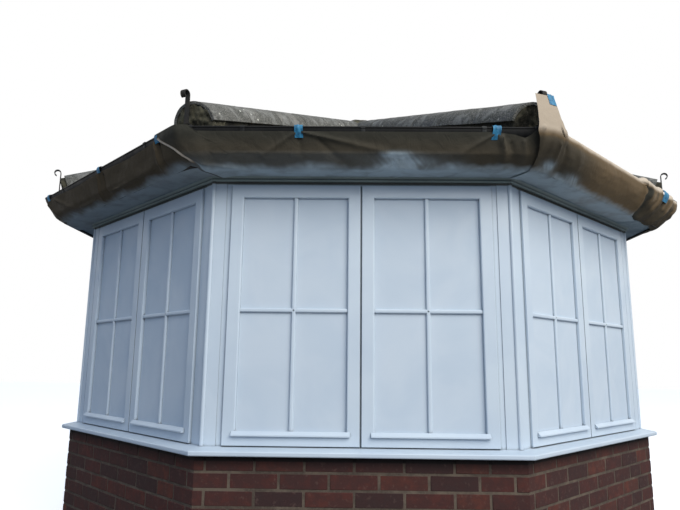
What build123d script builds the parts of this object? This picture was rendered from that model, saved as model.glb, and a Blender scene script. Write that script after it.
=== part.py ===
from build123d import *
from math import cos, radians, sin, sqrt, tan
import os

# A single-storey bay window on five sides of a regular octagon. All sizes are in millimetres.
# X runs to the right, the front faces -Y, the house stands on +Y and the ground is Z = 0.
# The origin is the octagon's centre on the ground, under the floor slab.
# "Out" is the distance outward from the plane of the corner posts' outer faces.

# Plan
turn = 45.0                  # angle between neighbouring faces
face_width = 1470.0          # arris to arris of two corner posts
bay_depth = 3300.0           # from the front posts' outer face to the house wall

# Masonry
brick_course = 75.0
plinth_courses = 10
brick_out = 40.0             # brick face beyond the posts
brick_leaf = 102.5
cavity = 60.0
inner_leaf_width = 100.0
plaster = 13.0
floor_top = 150.0

# Timber sill
sill_out = 85.0              # nosing beyond the posts
sill_nose = 22.5             # thickness at the nosing
sill_height = 34.0           # thickness under the posts
sill_round = 7.0
throat_width = 8.0           # drip groove under the nosing
throat_in = 14.0             # groove's distance behind the nosing

# Window frame
frame_depth = 70.0
frame_setback = 4.0          # frame face behind the posts' covers
frame_head = 72.0
post_cover = 66.0            # width of a post's leg on each face
bead_radius = 11.0           # roll bead on the arris
bead_proud = 8.0
jamb_show = 30.0             # jamb left in sight beside a casement
frame_board = 28.0           # height of the frame's bottom rail behind the sash

# Casements
mullion_gap = 8.0            # between two lipped casements
casement_height = 1246.0
casement_lift = 3.0          # above the sill
lip_thick = 14.0
lip_lap = 12.0               # lip over the frame
sash_thick = 34.0
sash_gap = 2.0
stop_lap = 12.0              # frame's inner stop behind the sash
stile = 60.5
bottom_rail = 65.0
top_rail = 65.0
mould_round = 7.0            # ovolo round the glass
edge_round = 2.5             # softened outer edges
glass_thick = 6.0
glass_back = 20.0            # glass behind the casement's face
glass_lap = 9.0              # glass edge held in the sash
glass_clear = 0.3
drip_height = 22.0
drip_out = 17.0
drip_over = 16.0             # bead's length past the glass at each end
return_casements = 3

# Window board, ring beam and ceiling
board_thick = 25.0
board_nose = 20.0            # board beyond the plaster
beam_setback = 4.0
ceiling_thick = 12.5

# Eaves
soffit_lift = 39.0           # soffit above the casements
soffit_thick = 12.0
soffit_out = 160.0
fascia_thick = 20.0
fascia_drop = 10.0           # fascia below the soffit
mould_out = 26.0             # bed mould under the soffit
mould_height = 21.0
mould_roll = 5.5             # radius of the bed mould's lower roll
gutter_radius = 56.0
gutter_wall = 3.0
gutter_lift = 148.0          # gutter's top above the soffit
gutter_roll = 5.0            # radius of the outer lip's roll

# Roof
roof_pitch = 20.8
eave_out = 225.0
eave_lift = 167.0            # tiles' upper edge above the soffit
roof_thick = 32.0            # tiles and battens, measured upright
cap_width = 236.0            # hip and ridge tiles
cap_rise = 104.0
cap_bed = 26.0               # mortar under the caps
hip_back = 58.0              # foot of the lowest hip tile behind the eave

# Roof timbers
rafter_width = 47.0
rafter_depth = 97.0
ridge_depth = 150.0
return_rafters = 3

# Hip irons
iron_thick = 5.0
iron_width = 25.0
iron_rise = 140.0
iron_curl = 19.0
iron_foot = 62.0             # from the hip tile to the upright

# Masking paper
paper_thick = 3.0
paper_drop = 20.0            # sheet's edge below the gutter's top
paper_fold_out = 248.0       # crease between the gutter's face and the underside
paper_fold = 40.0            # crease above the soffit
paper_clear = 0.3            # from what it lies on
paper_end_out = 38.0
paper_gap = 1.0              # between neighbouring sheets
paper_return = 180.0         # stretch round each back corner
flap_rise = 170.0            # from the gutter's top to where the flap meets the hip iron
flap_below = 24.0            # flap's length under the gutter's top
flap_foot_left = 82.0        # from the hip's line, at the flap's foot and at its top
flap_foot_right = 64.0
flap_top_left = 22.0
flap_top_right = 72.0

# Derived plan
half = radians(turn / 2)
inradius = face_width / 2 / tan(half)
back_y = bay_depth - inradius
wide = 2 * bay_depth
hip_angles = (turn / 2, 1.5 * turn, -turn / 2, -1.5 * turn)

# Derived heights
plinth_top = brick_course * plinth_courses
sill_top = plinth_top + sill_height
casement_z = sill_top + casement_lift
casement_top = casement_z + casement_height
frame_open_top = casement_top - lip_lap + sash_gap
frame_top = frame_open_top + frame_head
glass_low = casement_z + bottom_rail
glass_high = casement_top - top_rail
pitch_slope = tan(radians(roof_pitch))
soffit_z = casement_top + soffit_lift
gutter_top = soffit_z + gutter_lift
eave_z = soffit_z + eave_lift
paper_fold_z = soffit_z + paper_fold
tall = 2 * eave_z

# Derived distances out
leaf_back = brick_out - brick_leaf
inner_face = leaf_back - cavity
room_face = inner_face - inner_leaf_width - plaster
lip_face = lip_thick - frame_setback
fascia_out = soffit_out + fascia_thick
gutter_mid = fascia_out + gutter_radius


def roof_z(out):
    """Height of the tiles' upper surface at a distance out."""
    return eave_z + (eave_out - out) * pitch_slope


def under_roof(out):
    return roof_z(out) - roof_thick


def block(x0, x1, out0, out1, z0, z1):
    """A box on the front face: x along the face, out from the post plane."""
    size = Box(x1 - x0, out1 - out0, z1 - z0)
    return Pos((x0 + x1) / 2, -inradius - (out0 + out1) / 2, (z0 + z1) / 2) * size


def section(points):
    """A flat profile from (out, z) points."""
    flat = make_face(Polyline(*[(out, z) for out, z in points], close=True).edges())
    return Sketch() + flat


def stand(profile, x0, x1):
    """A profile drawn in (out, z), run along the front face from x0 to x1."""
    plane = Plane(origin=(x1, -inradius, 0), x_dir=(0, -1, 0), z_dir=(-1, 0, 0))
    return extrude(plane * profile, amount=x1 - x0, dir=(-1, 0, 0))


def face_wedge():
    """What belongs to one full face, between its two corner planes."""
    reach = wide * tan(half)
    outline = Polyline((0, 0), (-reach, -wide), (reach, -wide), close=True)
    return extrude(make_face(outline.edges()), amount=tall, dir=(0, 0, 1))


def return_wedge():
    """What belongs to a return, from its corner plane to the house wall."""
    reach = wide * tan(half)
    outline = Polyline((0, 0), (-reach, -wide), (back_y, -wide), (back_y, 0), close=True)
    return extrude(make_face(outline.edges()), amount=tall, dir=(0, 0, 1))


full_wedge = face_wedge()
side_wedge = return_wedge()


def mitred(profile, is_return=False):
    """A profile run along one face and cut at the corner planes."""
    return stand(profile, -wide / 2, wide / 2) & (side_wedge if is_return else full_wedge)


def placed(maker):
    """The five copies of a piece: maker(is_return) builds it on the front face."""
    plain, end = maker(False), maker(True)
    right_front = Rot(0, 0, turn) * plain
    right_return = Rot(0, 0, 2 * turn) * end
    return {
        "front": plain,
        "right_front": right_front,
        "left_front": mirror(right_front, about=Plane.YZ),
        "right_return": right_return,
        "left_return": mirror(right_return, about=Plane.YZ),
    }


def around(profile):
    """One piece that runs round all five faces."""
    parts = placed(lambda is_return: mitred(profile, is_return))
    whole = parts["front"]
    for name in ("right_front", "left_front", "right_return", "left_return"):
        whole = whole + parts[name]
    return whole


def plan(out):
    """The bay's outline at a distance out, closed along the house wall."""
    flat = inradius + out
    corner = flat * tan(half)
    points = [(-corner, -flat), (corner, -flat), (flat, -corner),
              (flat, back_y), (-flat, back_y), (-flat, -corner)]
    return make_face(Polyline(*points, close=True).edges())


def rounded(sketch, corners, radius):
    """Round the profile's corners that lie at the given points."""
    picked = [v for v in sketch.vertices() for c in corners if abs(v.X - c[0]) + abs(v.Y - c[1]) < 0.01]
    return fillet(picked, radius)


def sill_profile():
    back = -frame_depth
    nose_top = plinth_top + sill_nose
    flat = section([(back, plinth_top), (sill_out, plinth_top), (sill_out, nose_top),
                    (0, sill_top), (back, sill_top)])
    flat = rounded(flat, [(sill_out, plinth_top), (sill_out, nose_top)], sill_round)
    throat = Pos(sill_out - throat_in, plinth_top) * Circle(throat_width / 2)
    return flat - throat


def casement_spans(is_return):
    """The x limits of each casement on a face."""
    margin = post_cover + jamb_show - 1
    low, high = -face_width / 2 + margin, face_width / 2 - margin
    count = 2
    if is_return:
        high, count = back_y - margin, return_casements
    width = (high - low - mullion_gap * (count - 1)) / count
    starts = [low + i * (width + mullion_gap) for i in range(count)]
    return [(x, x + width) for x in starts]


def front_edges(leaf, x0, x1, z0, z1):
    """The four edges of a casement's outer face that bound a rectangle."""
    def on_side(edge):
        middle = edge.center()
        upright = min(abs(middle.X - x0), abs(middle.X - x1))
        level = min(abs(middle.Z - z0), abs(middle.Z - z1))
        return min(upright, level) < 0.01 and abs(middle.Y + inradius + lip_face) < 0.01
    return [edge for edge in leaf.edges() if on_side(edge)]


def casement(x0, x1):
    """One lipped casement with its moulded glass opening and drip bead."""
    face, back = lip_face, -frame_setback - sash_thick
    lip = block(x0, x1, -frame_setback, face, casement_z, casement_top)
    top = casement_top - lip_lap
    sash = block(x0 + lip_lap, x1 - lip_lap, back, -frame_setback, casement_z, top)
    light = block(x0 + stile, x1 - stile, back, face, glass_low, glass_high)
    leaf = lip + sash - light
    leaf = fillet(front_edges(leaf, x0 + stile, x1 - stile, glass_low, glass_high), mould_round)
    leaf = fillet(front_edges(leaf, x0, x1, casement_z, casement_top), edge_round)
    groove_out = face - glass_back
    leaf = leaf - block(x0 + stile - glass_lap, x1 - stile + glass_lap, groove_out - glass_thick,
                        groove_out, glass_low - glass_lap, glass_high + glass_lap)
    bead_top = glass_low + 2
    bead = section([(face, bead_top - drip_height), (face + drip_out, bead_top - drip_height),
                    (face + drip_out, bead_top - drip_height + 6), (face, bead_top)])
    return leaf + stand(bead, x0 + stile - drip_over, x1 - stile + drip_over)


def pane(x0, x1):
    """The sheet of glass in one casement, held in the sash's groove."""
    hold = glass_lap - glass_clear
    front = lip_face - glass_back - glass_clear
    return block(x0 + stile - hold, x1 - stile + hold, front - glass_thick + 2 * glass_clear, front,
                 glass_low - hold, glass_high + hold)


def frame(is_return):
    """Jambs, mullions, head and inner stops of one face's window frame."""
    spans = casement_spans(is_return)
    low = -face_width / 2 + post_cover
    high = back_y - post_cover if is_return else face_width / 2 - post_cover
    face, back = -frame_setback, -frame_depth
    whole = block(low, high, back, face, sill_top, frame_top)
    edge = lip_lap - sash_gap
    stop_front = -frame_setback - sash_thick - sash_gap
    for x0, x1 in spans:
        whole -= block(x0 + edge, x1 - edge, stop_front, face, sill_top, frame_open_top)
        inset = edge + stop_lap
        whole -= block(x0 + inset, x1 - inset, back, stop_front,
                       sill_top + frame_board, frame_open_top - stop_lap)
    return whole


def corner_post():
    """The post at the right-hand end of the front face, with its roll bead."""
    corner = face_width / 2
    inner = (inradius - frame_depth) * tan(half)
    leg = [(corner, -inradius), (corner - post_cover, -inradius),
           (corner - post_cover, -inradius + frame_depth), (inner, -inradius + frame_depth)]
    one = make_face(Polyline(*leg, close=True).edges())
    mitre = Plane(origin=(0, 0, 0), x_dir=(sin(half), -cos(half), 0), z_dir=(cos(half), sin(half), 0))
    body = extrude(Pos(0, 0, sill_top) * (Sketch() + one), amount=frame_top - sill_top)
    body = body + mirror(body, about=mitre)
    reach = inradius / cos(half) - (bead_radius - bead_proud)
    bead = Pos(reach * sin(half), -reach * cos(half), sill_top) * Cylinder(
        bead_radius, soffit_z - mould_height - sill_top, align=(Align.CENTER, Align.CENTER, Align.MIN))
    return body + bead


def gutter_profile():
    ring = Circle(gutter_radius) - Circle(gutter_radius - gutter_wall)
    upper = Pos(0, gutter_radius) * Rectangle(4 * gutter_radius, 2 * gutter_radius)
    roll = Pos(gutter_radius - gutter_wall / 2, 0) * Circle(gutter_roll)
    return Pos(gutter_mid, gutter_top) * ((ring - upper) + roll)


def bed_profile():
    """A splayed mould under the soffit with a small roll at its foot."""
    low = soffit_z - mould_height
    shelf = low + 2 * mould_roll
    splay = section([(0, low), (2 * mould_roll, low), (2 * mould_roll, shelf),
                     (mould_out, soffit_z), (0, soffit_z)])
    return splay + Pos(2 * mould_roll, low + mould_roll) * Circle(mould_roll)


def roof_profile():
    ridge = -inradius
    return section([(eave_out, roof_z(eave_out)), (ridge, roof_z(ridge)),
                    (ridge, under_roof(ridge)), (eave_out, under_roof(eave_out))])


def cap_section():
    """A third-round cap tile on its mortar, drawn about the roof's arris."""
    radius = (cap_width ** 2 / 4 + cap_rise ** 2) / (2 * cap_rise)
    crown = cap_rise + cap_bed
    arc = ThreePointArc((-cap_width / 2, cap_bed), (0, crown), (cap_width / 2, cap_bed))
    skirt = Polyline((cap_width / 2, cap_bed), (cap_width / 2, -cap_width / 4),
                     (-cap_width / 2, -cap_width / 4), (-cap_width / 2, cap_bed))
    return make_face([arc.edges()[0], *skirt.edges()])


def hip_line(angle, out):
    """A point on the roof's arris over the corner at an angle from the front."""
    reach = (inradius + out) / cos(half)
    return Vector(reach * sin(radians(angle)), -reach * cos(radians(angle)), roof_z(out))


def hip_cap(angle, slopes):
    """The bedded cap tiles of one hip, kept clear of the next hips at the top."""
    low, high = hip_line(angle, eave_out - hip_back), hip_line(angle, -inradius)
    side = Vector(-cos(radians(angle)), -sin(radians(angle)), 0)
    run = extrude(Plane(origin=low, x_dir=side, z_dir=high - low) * (Sketch() + cap_section()),
                  amount=(high - low).length + cap_width, dir=high - low)
    return on_roof(run & (Rot(0, 0, angle) * full_wedge), slopes)


def ridge_cap(slopes):
    """The bedded cap tiles from the top of the hips to the house."""
    top = Plane(origin=(0, 0, roof_z(-inradius)), x_dir=(-1, 0, 0), z_dir=(0, 1, 0))
    return on_roof(extrude(top * (Sketch() + cap_section()), amount=back_y, dir=(0, 1, 0)), slopes)


def rafter(x):
    """A common rafter under the front slope, from the ring beam to the top."""
    low, high = -frame_depth, -inradius
    side = section([(low, under_roof(low)), (high, under_roof(high)), (high, under_roof(high) - rafter_depth),
                    (low, under_roof(low) - rafter_depth)])
    return stand(side, x - rafter_width / 2, x + rafter_width / 2)


def hip_rafter(angle):
    """The rafter under one hip, lowered until its edges meet the slopes."""
    drop = rafter_width / 2 * sin(half) * pitch_slope
    low, high = -frame_depth, -inradius
    reach = (inradius + low) / cos(half)
    foot, head = under_roof(low) - drop, under_roof(high) - drop
    side = make_face(Polyline((0, head), (reach, foot), (reach, foot - rafter_depth),
                              (0, head - rafter_depth), close=True).edges())
    plane = Plane(origin=(rafter_width / 2, 0, 0), x_dir=(0, -1, 0), z_dir=(-1, 0, 0))
    return Rot(0, 0, angle) * extrude(plane * (Sketch() + side), amount=rafter_width, dir=(-1, 0, 0))


def roof_timbers(covers):
    """Ridge board, hip rafters and common rafters, joined at the top."""
    top = under_roof(-inradius) - rafter_width / 2 * pitch_slope
    timbers = Pos(0, back_y / 2, top - ridge_depth / 2) * Box(rafter_width, back_y, ridge_depth)
    timbers += Pos(0, 0, top - ridge_depth / 2) * Cylinder(rafter_width, ridge_depth)
    for angle in hip_angles:
        timbers += hip_rafter(angle)
    for angle in (0, turn, -turn):
        timbers += Rot(0, 0, angle) * rafter(0)
    for index in range(return_rafters):
        x = rafter_width / 2 + (back_y - rafter_width) * index / (return_rafters - 1)
        common = Rot(0, 0, 2 * turn) * rafter(x)
        timbers += common
        timbers += mirror(common, about=Plane.YZ)
    for cover in covers:
        timbers -= cover
    return max(timbers.solids(), key=lambda solid: solid.volume)


def on_roof(run, slopes):
    """What is left of a cap above the roof's slopes."""
    for slope in slopes:
        run -= slope
    return max(run.solids(), key=lambda solid: solid.volume)


def hip_iron(angle):
    """A bent strap at the foot of a hip, curled at its top."""
    low = hip_line(angle, eave_out - hip_back)
    outward = Vector(sin(radians(angle)), -cos(radians(angle)), 0)
    base = low + outward * iron_foot + Vector(0, 0, iron_thick / 2)
    plane = Plane(origin=base, x_dir=outward, z_dir=outward.cross(Vector(0, 0, 1)))
    foot = Line((-iron_foot, 0), (0, 0))
    rise = Line((0, 0), (0, iron_rise))
    curl = CenterArc((iron_curl, iron_rise), iron_curl, 180, -250)
    strap = trace([*foot.edges(), *rise.edges(), *curl.edges()], iron_thick)
    return extrude(plane * strap, amount=iron_width / 2, both=True)


def paper_profile():
    """Paper from the gutter's outer face down to a fold and back under the soffit."""
    under = soffit_z - fascia_drop - paper_clear
    end_z = soffit_z - paper_clear
    edge = gutter_mid + sqrt(gutter_radius ** 2 - paper_drop ** 2) + paper_clear
    top = gutter_top - paper_drop
    back = [(edge, top), (paper_fold_out, paper_fold_z), (fascia_out, under), (soffit_out, under),
            (paper_end_out, end_z)]
    front = [(paper_end_out, end_z - paper_thick), (soffit_out, under - paper_thick),
             (fascia_out + paper_thick / 3, under - paper_thick),
             (paper_fold_out + paper_thick * 0.8, paper_fold_z - paper_thick * 0.65),
             (edge + paper_thick, top)]
    return section(back + front)


def paper_flap():
    """The loose corner of paper that leans on the right-hand hip iron."""
    outward = Vector(sin(half), -cos(half), 0)
    along = Vector(cos(half), sin(half), 0)
    lip = (inradius + gutter_mid + gutter_radius + gutter_roll) / cos(half)
    iron = (inradius + eave_out - hip_back) / cos(half) + iron_foot + iron_thick / 2 + paper_clear
    climb = Vector(0, 0, flap_rise) - outward * (lip - iron)
    plane = Plane(origin=outward * lip + Vector(0, 0, gutter_top), x_dir=along, z_dir=along.cross(climb))
    outline = Polyline((-flap_foot_left, -flap_below), (-flap_top_left, climb.length),
                       (flap_top_right, climb.length), (flap_foot_right, -flap_below), close=True)
    return extrude(plane * make_face(outline.edges()), amount=paper_thick, dir=outward)


def clear_wedge():
    """The front face's wedge, drawn in by the gap between neighbouring sheets."""
    return Pos(0, -paper_gap / sin(half), 0) * full_wedge


def paper_front():
    return stand(paper_profile(), -wide / 2, wide / 2) & clear_wedge()


def paper_side():
    """The right-hand sheet, with the stretch that it runs round the back corner."""
    run = stand(paper_profile(), -wide / 2, wide / 2)
    shown = run & (full_wedge & Pos(paper_gap / cos(half), 0, 0) * full_wedge)
    corner = (inradius + gutter_mid + gutter_radius) * tan(half)
    past = run & (side_wedge & block(-wide, -corner + paper_return, -inradius, wide, 0, tall))
    return Rot(0, 0, turn) * shown + Rot(0, 0, 2 * turn) * past


nodes = {}

# Masonry and floor
brick = section([(leaf_back, 0), (brick_out, 0), (brick_out, plinth_top), (leaf_back, plinth_top)])
for name, piece in placed(lambda is_return: mitred(brick, is_return)).items():
    nodes["brick_" + name] = piece
board_z = sill_top - board_thick
nodes["inner_leaf"] = around(section([(room_face, 0), (inner_face, 0),
                                      (inner_face, board_z), (room_face, board_z)]))
nodes["floor_slab"] = extrude(Sketch() + plan(room_face), amount=floor_top, dir=(0, 0, 1))

# Sills, posts and window frames
for name, piece in placed(lambda is_return: mitred(sill_profile(), is_return)).items():
    nodes["sill_" + name] = piece
post = corner_post()
posts = [post, Rot(0, 0, turn) * post]
posts += [mirror(one, about=Plane.YZ) for one in posts]
nodes["corner_posts"] = Compound(children=[one.solid() for one in posts])
wall_post = Rot(0, 0, 2 * turn) * block(back_y - post_cover, back_y, -frame_depth, 0, sill_top, frame_top)
nodes["wall_posts"] = Compound(children=[wall_post.solid(), mirror(wall_post, about=Plane.YZ).solid()])
for name, piece in placed(frame).items():
    nodes["frame_" + name] = piece

# Casements and glass
pairs = [casement(*span) for span in casement_spans(False)]
panes = [pane(*span) for span in casement_spans(False)]
shown_glass = []
for name, angle in (("front", 0), ("right_front", turn), ("left_front", -turn)):
    for hand, leaf, sheet in zip(("left", "right"), pairs, panes):
        nodes["casement_" + name + "_" + hand] = Rot(0, 0, angle) * leaf
        shown_glass.append(Rot(0, 0, angle) * sheet)
nodes["glass_front_faces"] = Compound(children=[sheet.solid() for sheet in shown_glass])
side_leaves = [Rot(0, 0, 2 * turn) * casement(*span) for span in casement_spans(True)]
side_glass = [Rot(0, 0, 2 * turn) * pane(*span) for span in casement_spans(True)]
other_leaves = [mirror(leaf, about=Plane.YZ) for leaf in side_leaves]
nodes["casements_right_return"] = Compound(children=[leaf.solid() for leaf in side_leaves])
nodes["casements_left_return"] = Compound(children=[leaf.solid() for leaf in other_leaves])
side_glass += [mirror(sheet, about=Plane.YZ) for sheet in side_glass]
nodes["glass_returns"] = Compound(children=[sheet.solid() for sheet in side_glass])

# Window board, ring beam and ceiling
board_in = room_face - board_nose
nodes["window_board"] = around(section([(board_in, board_z), (-frame_depth, board_z),
                                        (-frame_depth, sill_top), (board_in, sill_top)]))
nodes["ring_beam"] = around(section([(-frame_depth, frame_top), (-beam_setback, frame_top),
                                     (-beam_setback, under_roof(-beam_setback)),
                                     (-frame_depth, under_roof(-frame_depth))]))
nodes["ceiling"] = extrude(Pos(0, 0, frame_top) * (Sketch() + plan(-frame_depth)),
                           amount=ceiling_thick, dir=(0, 0, 1))

# Eaves
soffit_up = soffit_z + soffit_thick
fascia_low = soffit_z - fascia_drop
nodes["soffit"] = around(section([(0, soffit_z), (soffit_out, soffit_z),
                                  (soffit_out, soffit_up), (0, soffit_up)]))
nodes["bed_mould"] = around(bed_profile())
nodes["fascia"] = around(section([(soffit_out, fascia_low), (fascia_out, fascia_low),
                                  (fascia_out, under_roof(fascia_out)),
                                  (soffit_out, under_roof(soffit_out))]))
for name, piece in placed(lambda is_return: mitred(gutter_profile(), is_return)).items():
    nodes["gutter_" + name] = piece

# Roof, its cap tiles and hip irons
slopes = placed(lambda is_return: mitred(roof_profile(), is_return))
for name, piece in slopes.items():
    nodes["roof_" + name] = piece
caps = Part() + ridge_cap([slopes["right_return"], slopes["left_return"]])
for angle, near in ((turn / 2, ("front", "right_front")), (1.5 * turn, ("right_front", "right_return"))):
    cap = Part() + hip_cap(angle, [slopes[name] for name in near])
    caps += cap
    caps += mirror(cap, about=Plane.YZ)
nodes["hip_and_ridge_caps"] = caps
irons = [hip_iron(angle) - caps for angle in hip_angles]
nodes["hip_irons"] = Compound(children=[iron.solid() for iron in irons])
nodes["roof_timbers"] = roof_timbers([*slopes.values(), nodes["ring_beam"]])

# Masking paper over the eaves
nodes["paper_flap"] = paper_flap()
nodes["paper_front"] = paper_front()
nodes["paper_right"] = paper_side()
nodes["paper_left"] = mirror(nodes["paper_right"], about=Plane.YZ)

os.makedirs("parts", exist_ok=True)
for name, piece in nodes.items():
    export_step(piece, "parts/" + name + ".step")
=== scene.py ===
import logging
import math
import random
from dataclasses import dataclass, field
from enum import Enum
from typing import Any, Callable, Iterable, Sequence

import bmesh
import bpy
import numpy as np
from mathutils import Matrix, Vector, noise


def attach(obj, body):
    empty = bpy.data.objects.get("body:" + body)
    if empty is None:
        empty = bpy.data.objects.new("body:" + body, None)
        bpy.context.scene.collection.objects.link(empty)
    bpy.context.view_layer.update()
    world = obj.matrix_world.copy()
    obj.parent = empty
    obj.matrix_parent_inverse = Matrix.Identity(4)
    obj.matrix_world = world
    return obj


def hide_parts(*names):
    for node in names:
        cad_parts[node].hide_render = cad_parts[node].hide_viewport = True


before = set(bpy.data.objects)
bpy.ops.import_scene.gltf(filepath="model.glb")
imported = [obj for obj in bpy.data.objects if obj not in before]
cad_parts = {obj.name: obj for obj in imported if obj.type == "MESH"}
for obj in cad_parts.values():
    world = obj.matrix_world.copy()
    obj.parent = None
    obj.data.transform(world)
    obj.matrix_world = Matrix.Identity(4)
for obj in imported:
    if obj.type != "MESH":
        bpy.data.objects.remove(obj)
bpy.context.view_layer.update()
LOG = logging.getLogger("bay_window")

Colour = tuple[float, float, float, float]
Test = Callable[[Vector, Vector], bool]
Pair = tuple[np.ndarray, np.ndarray]
Piece = bpy.types.Object
Socket = bpy.types.NodeSocket


def tint(red: int, green: int, blue: int) -> Colour:
    """A colour written in 0 to 255 as on a paint card, made linear."""
    def linear(part: int) -> float:
        """One channel made linear."""
        value = part / 255.0
        return value / 12.92 if value <= 0.04045 else ((value + 0.055) / 1.055) ** 2.4
    return (linear(red), linear(green), linear(blue), 1.0)


# Plan


@dataclass(frozen=True)
class Plan:
    """The octagon plan and the heights that the sub-assemblies share, in metres."""

    face_width: float = 1.470
    depth: float = 3.300
    plinth_top: float = 0.750
    sill_top: float = 0.784
    casement_low: float = 0.787
    casement_high: float = 2.033
    stile: float = 0.0605
    rail: float = 0.065
    glass_front: float = -0.0103
    soffit: float = 2.072
    gutter_top: float = 2.220
    gutter_mid: float = 0.236
    gutter_radius: float = 0.056
    eave_out: float = 0.225
    eave_top: float = 2.239
    wrap_out: float = 0.29
    pitch: float = math.radians(20.8)

    @property
    def half(self) -> float:
        """Half the turn between two faces."""
        return math.radians(22.5)

    @property
    def inradius(self) -> float:
        """From the centre to the posts' outer faces."""
        return self.face_width / 2 / math.tan(self.half)

    @property
    def back(self) -> float:
        """Where the returns meet the house wall."""
        return self.depth - self.inradius

    @property
    def wrap_radius(self) -> float:
        """From the centre to the line along which the paper is measured."""
        return self.inradius + self.wrap_out

    def corner(self, out: float) -> float:
        """Half the length of a face at a distance out."""
        return (self.inradius + out) * math.tan(self.half)

    def roof(self, out: float) -> float:
        """Height of the tiles' upper surface at a distance out."""
        return self.eave_top + (self.eave_out - out) * math.tan(self.pitch)


PLAN = Plan()


class Side(Enum):
    """The five faces from left to right, by their turn from the front in degrees."""

    LEFT_RETURN = -90.0
    LEFT_FRONT = -45.0
    FRONT = 0.0
    RIGHT_FRONT = 45.0
    RIGHT_RETURN = 90.0

    @property
    def label(self) -> str:
        """The side's name as the CAD nodes write it."""
        return self.name.lower()

    @property
    def is_return(self) -> bool:
        """Whether the side runs back to the house wall."""
        return abs(self.value) > 60.0

    def bearing(self, x: float) -> float:
        """The turn from the front, seen from the plan's centre, of a point x along the side's eaves."""
        return math.radians(self.value) + math.atan2(x, PLAN.wrap_radius)

    @property
    def turned(self) -> Matrix:
        """The front face turned to this side."""
        return Matrix.Rotation(math.radians(self.value), 4, "Z")

    @property
    def mirrored(self) -> Matrix:
        """The front face turned to this side, with left sides mirrored from right ones."""
        turn = Matrix.Rotation(math.radians(abs(self.value)), 4, "Z")
        return Matrix.Scale(-1, 4, (1, 0, 0)) @ turn if self.value < 0 else turn

    def span(self, out: float) -> tuple[float, float]:
        """The face's ends at a distance out, in its own left-to-right coordinate.

        Args:
            out: Distance outward from the posts' faces.

        Returns:
            The lowest and highest x on the face.
        """
        reach = PLAN.corner(out)
        low = -PLAN.back if self is Side.LEFT_RETURN else -reach
        high = PLAN.back if self is Side.RIGHT_RETURN else reach
        return low, high


# Bench


class Bench:
    """The maker's bench: Blender's own operators, used on one piece at a time."""

    @staticmethod
    def clear() -> None:
        """Deselect every object."""
        bpy.ops.object.select_all(action="DESELECT")

    @staticmethod
    def take(*pieces: Piece) -> None:
        """Select these pieces and make the first one active."""
        Bench.clear()
        for piece in pieces:
            piece.select_set(True)
        bpy.context.view_layer.objects.active = pieces[0]

    @staticmethod
    def settle(name: str) -> Piece:
        """Name the new primitive and move its place into its mesh."""
        piece = bpy.context.object
        piece.name = name
        piece.data.name = name
        bpy.ops.object.transform_apply(location=True, rotation=True, scale=True)
        return piece

    @staticmethod
    def block(name: str, low: Sequence[float], high: Sequence[float]) -> Piece:
        """A cube drawn out between two corners."""
        Bench.clear()
        middle = [(a + b) / 2 for a, b in zip(low, high)]
        bpy.ops.mesh.primitive_cube_add(size=1.0, location=middle, scale=[b - a for a, b in zip(low, high)])
        return Bench.settle(name)

    @staticmethod
    def pick(piece: Piece, test: Test) -> None:
        """Enter edit mode and select the edges whose middle and direction pass a test."""
        Bench.take(piece)
        bpy.ops.object.mode_set(mode="EDIT")
        bpy.ops.mesh.select_mode(type="EDGE")
        bpy.ops.mesh.select_all(action="DESELECT")
        mesh = bmesh.from_edit_mesh(piece.data)
        for edge in mesh.edges:
            start, end = (v.co for v in edge.verts)
            if test((start + end) / 2, (end - start).normalized()):
                edge.select_set(True)
        bmesh.update_edit_mesh(piece.data)

    @staticmethod
    def down() -> None:
        """Leave edit mode."""
        bpy.ops.object.mode_set(mode="OBJECT")

    @staticmethod
    def bevel(piece: Piece, test: Test, **settings: Any) -> Piece:
        """Bevel the edges that pass a test."""
        Bench.pick(piece, test)
        bpy.ops.mesh.bevel(**settings)
        Bench.down()
        return piece

    @staticmethod
    def cut(piece: Piece, point: Sequence[float], normal: Sequence[float], fill: bool = True) -> None:
        """Cut off what lies on the normal's side of a plane, and close the cut if told to."""
        Bench.take(piece)
        bpy.ops.object.mode_set(mode="EDIT")
        bpy.ops.mesh.select_all(action="SELECT")
        bpy.ops.mesh.bisect(plane_co=point, plane_no=normal, use_fill=fill, clear_outer=True)
        Bench.down()

    @staticmethod
    def finish(piece: Piece, kind: str, **settings: Any) -> None:
        """Add a modifier with these settings and apply it."""
        modifier = piece.modifiers.new(kind.title(), kind)
        for key, value in settings.items():
            setattr(modifier, key, value)
        Bench.take(piece)
        bpy.ops.object.modifier_apply(modifier=modifier.name)

    @staticmethod
    def smooth(piece: Piece, degrees: float) -> None:
        """Smooth the shading but for edges sharper than an angle."""
        Bench.take(piece)
        bpy.ops.object.shade_smooth_by_angle(angle=math.radians(degrees))

    @staticmethod
    def copy(piece: Piece, name: str, place: Matrix) -> Piece:
        """A copy with its own mesh, moved by a matrix."""
        twin = piece.copy()
        twin.data = piece.data.copy()
        twin.name = twin.data.name = name
        bpy.context.scene.collection.objects.link(twin)
        twin.data.transform(place)
        if place.determinant() < 0:
            twin.data.flip_normals()
        return twin

    @staticmethod
    def join(name: str, pieces: Sequence[Piece]) -> Piece:
        """Join pieces into the first one."""
        Bench.take(*pieces)
        if len(pieces) > 1:
            bpy.ops.object.join()
        pieces[0].name = pieces[0].data.name = name
        return pieces[0]

    @staticmethod
    def drop(*pieces: Piece) -> None:
        """Throw away pieces that were only patterns."""
        for piece in pieces:
            bpy.data.objects.remove(piece, do_unlink=True)


def lies_along(middle: Vector, way: Vector) -> bool:
    """Whether an edge runs along X."""
    return abs(way.x) > 0.9


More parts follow.
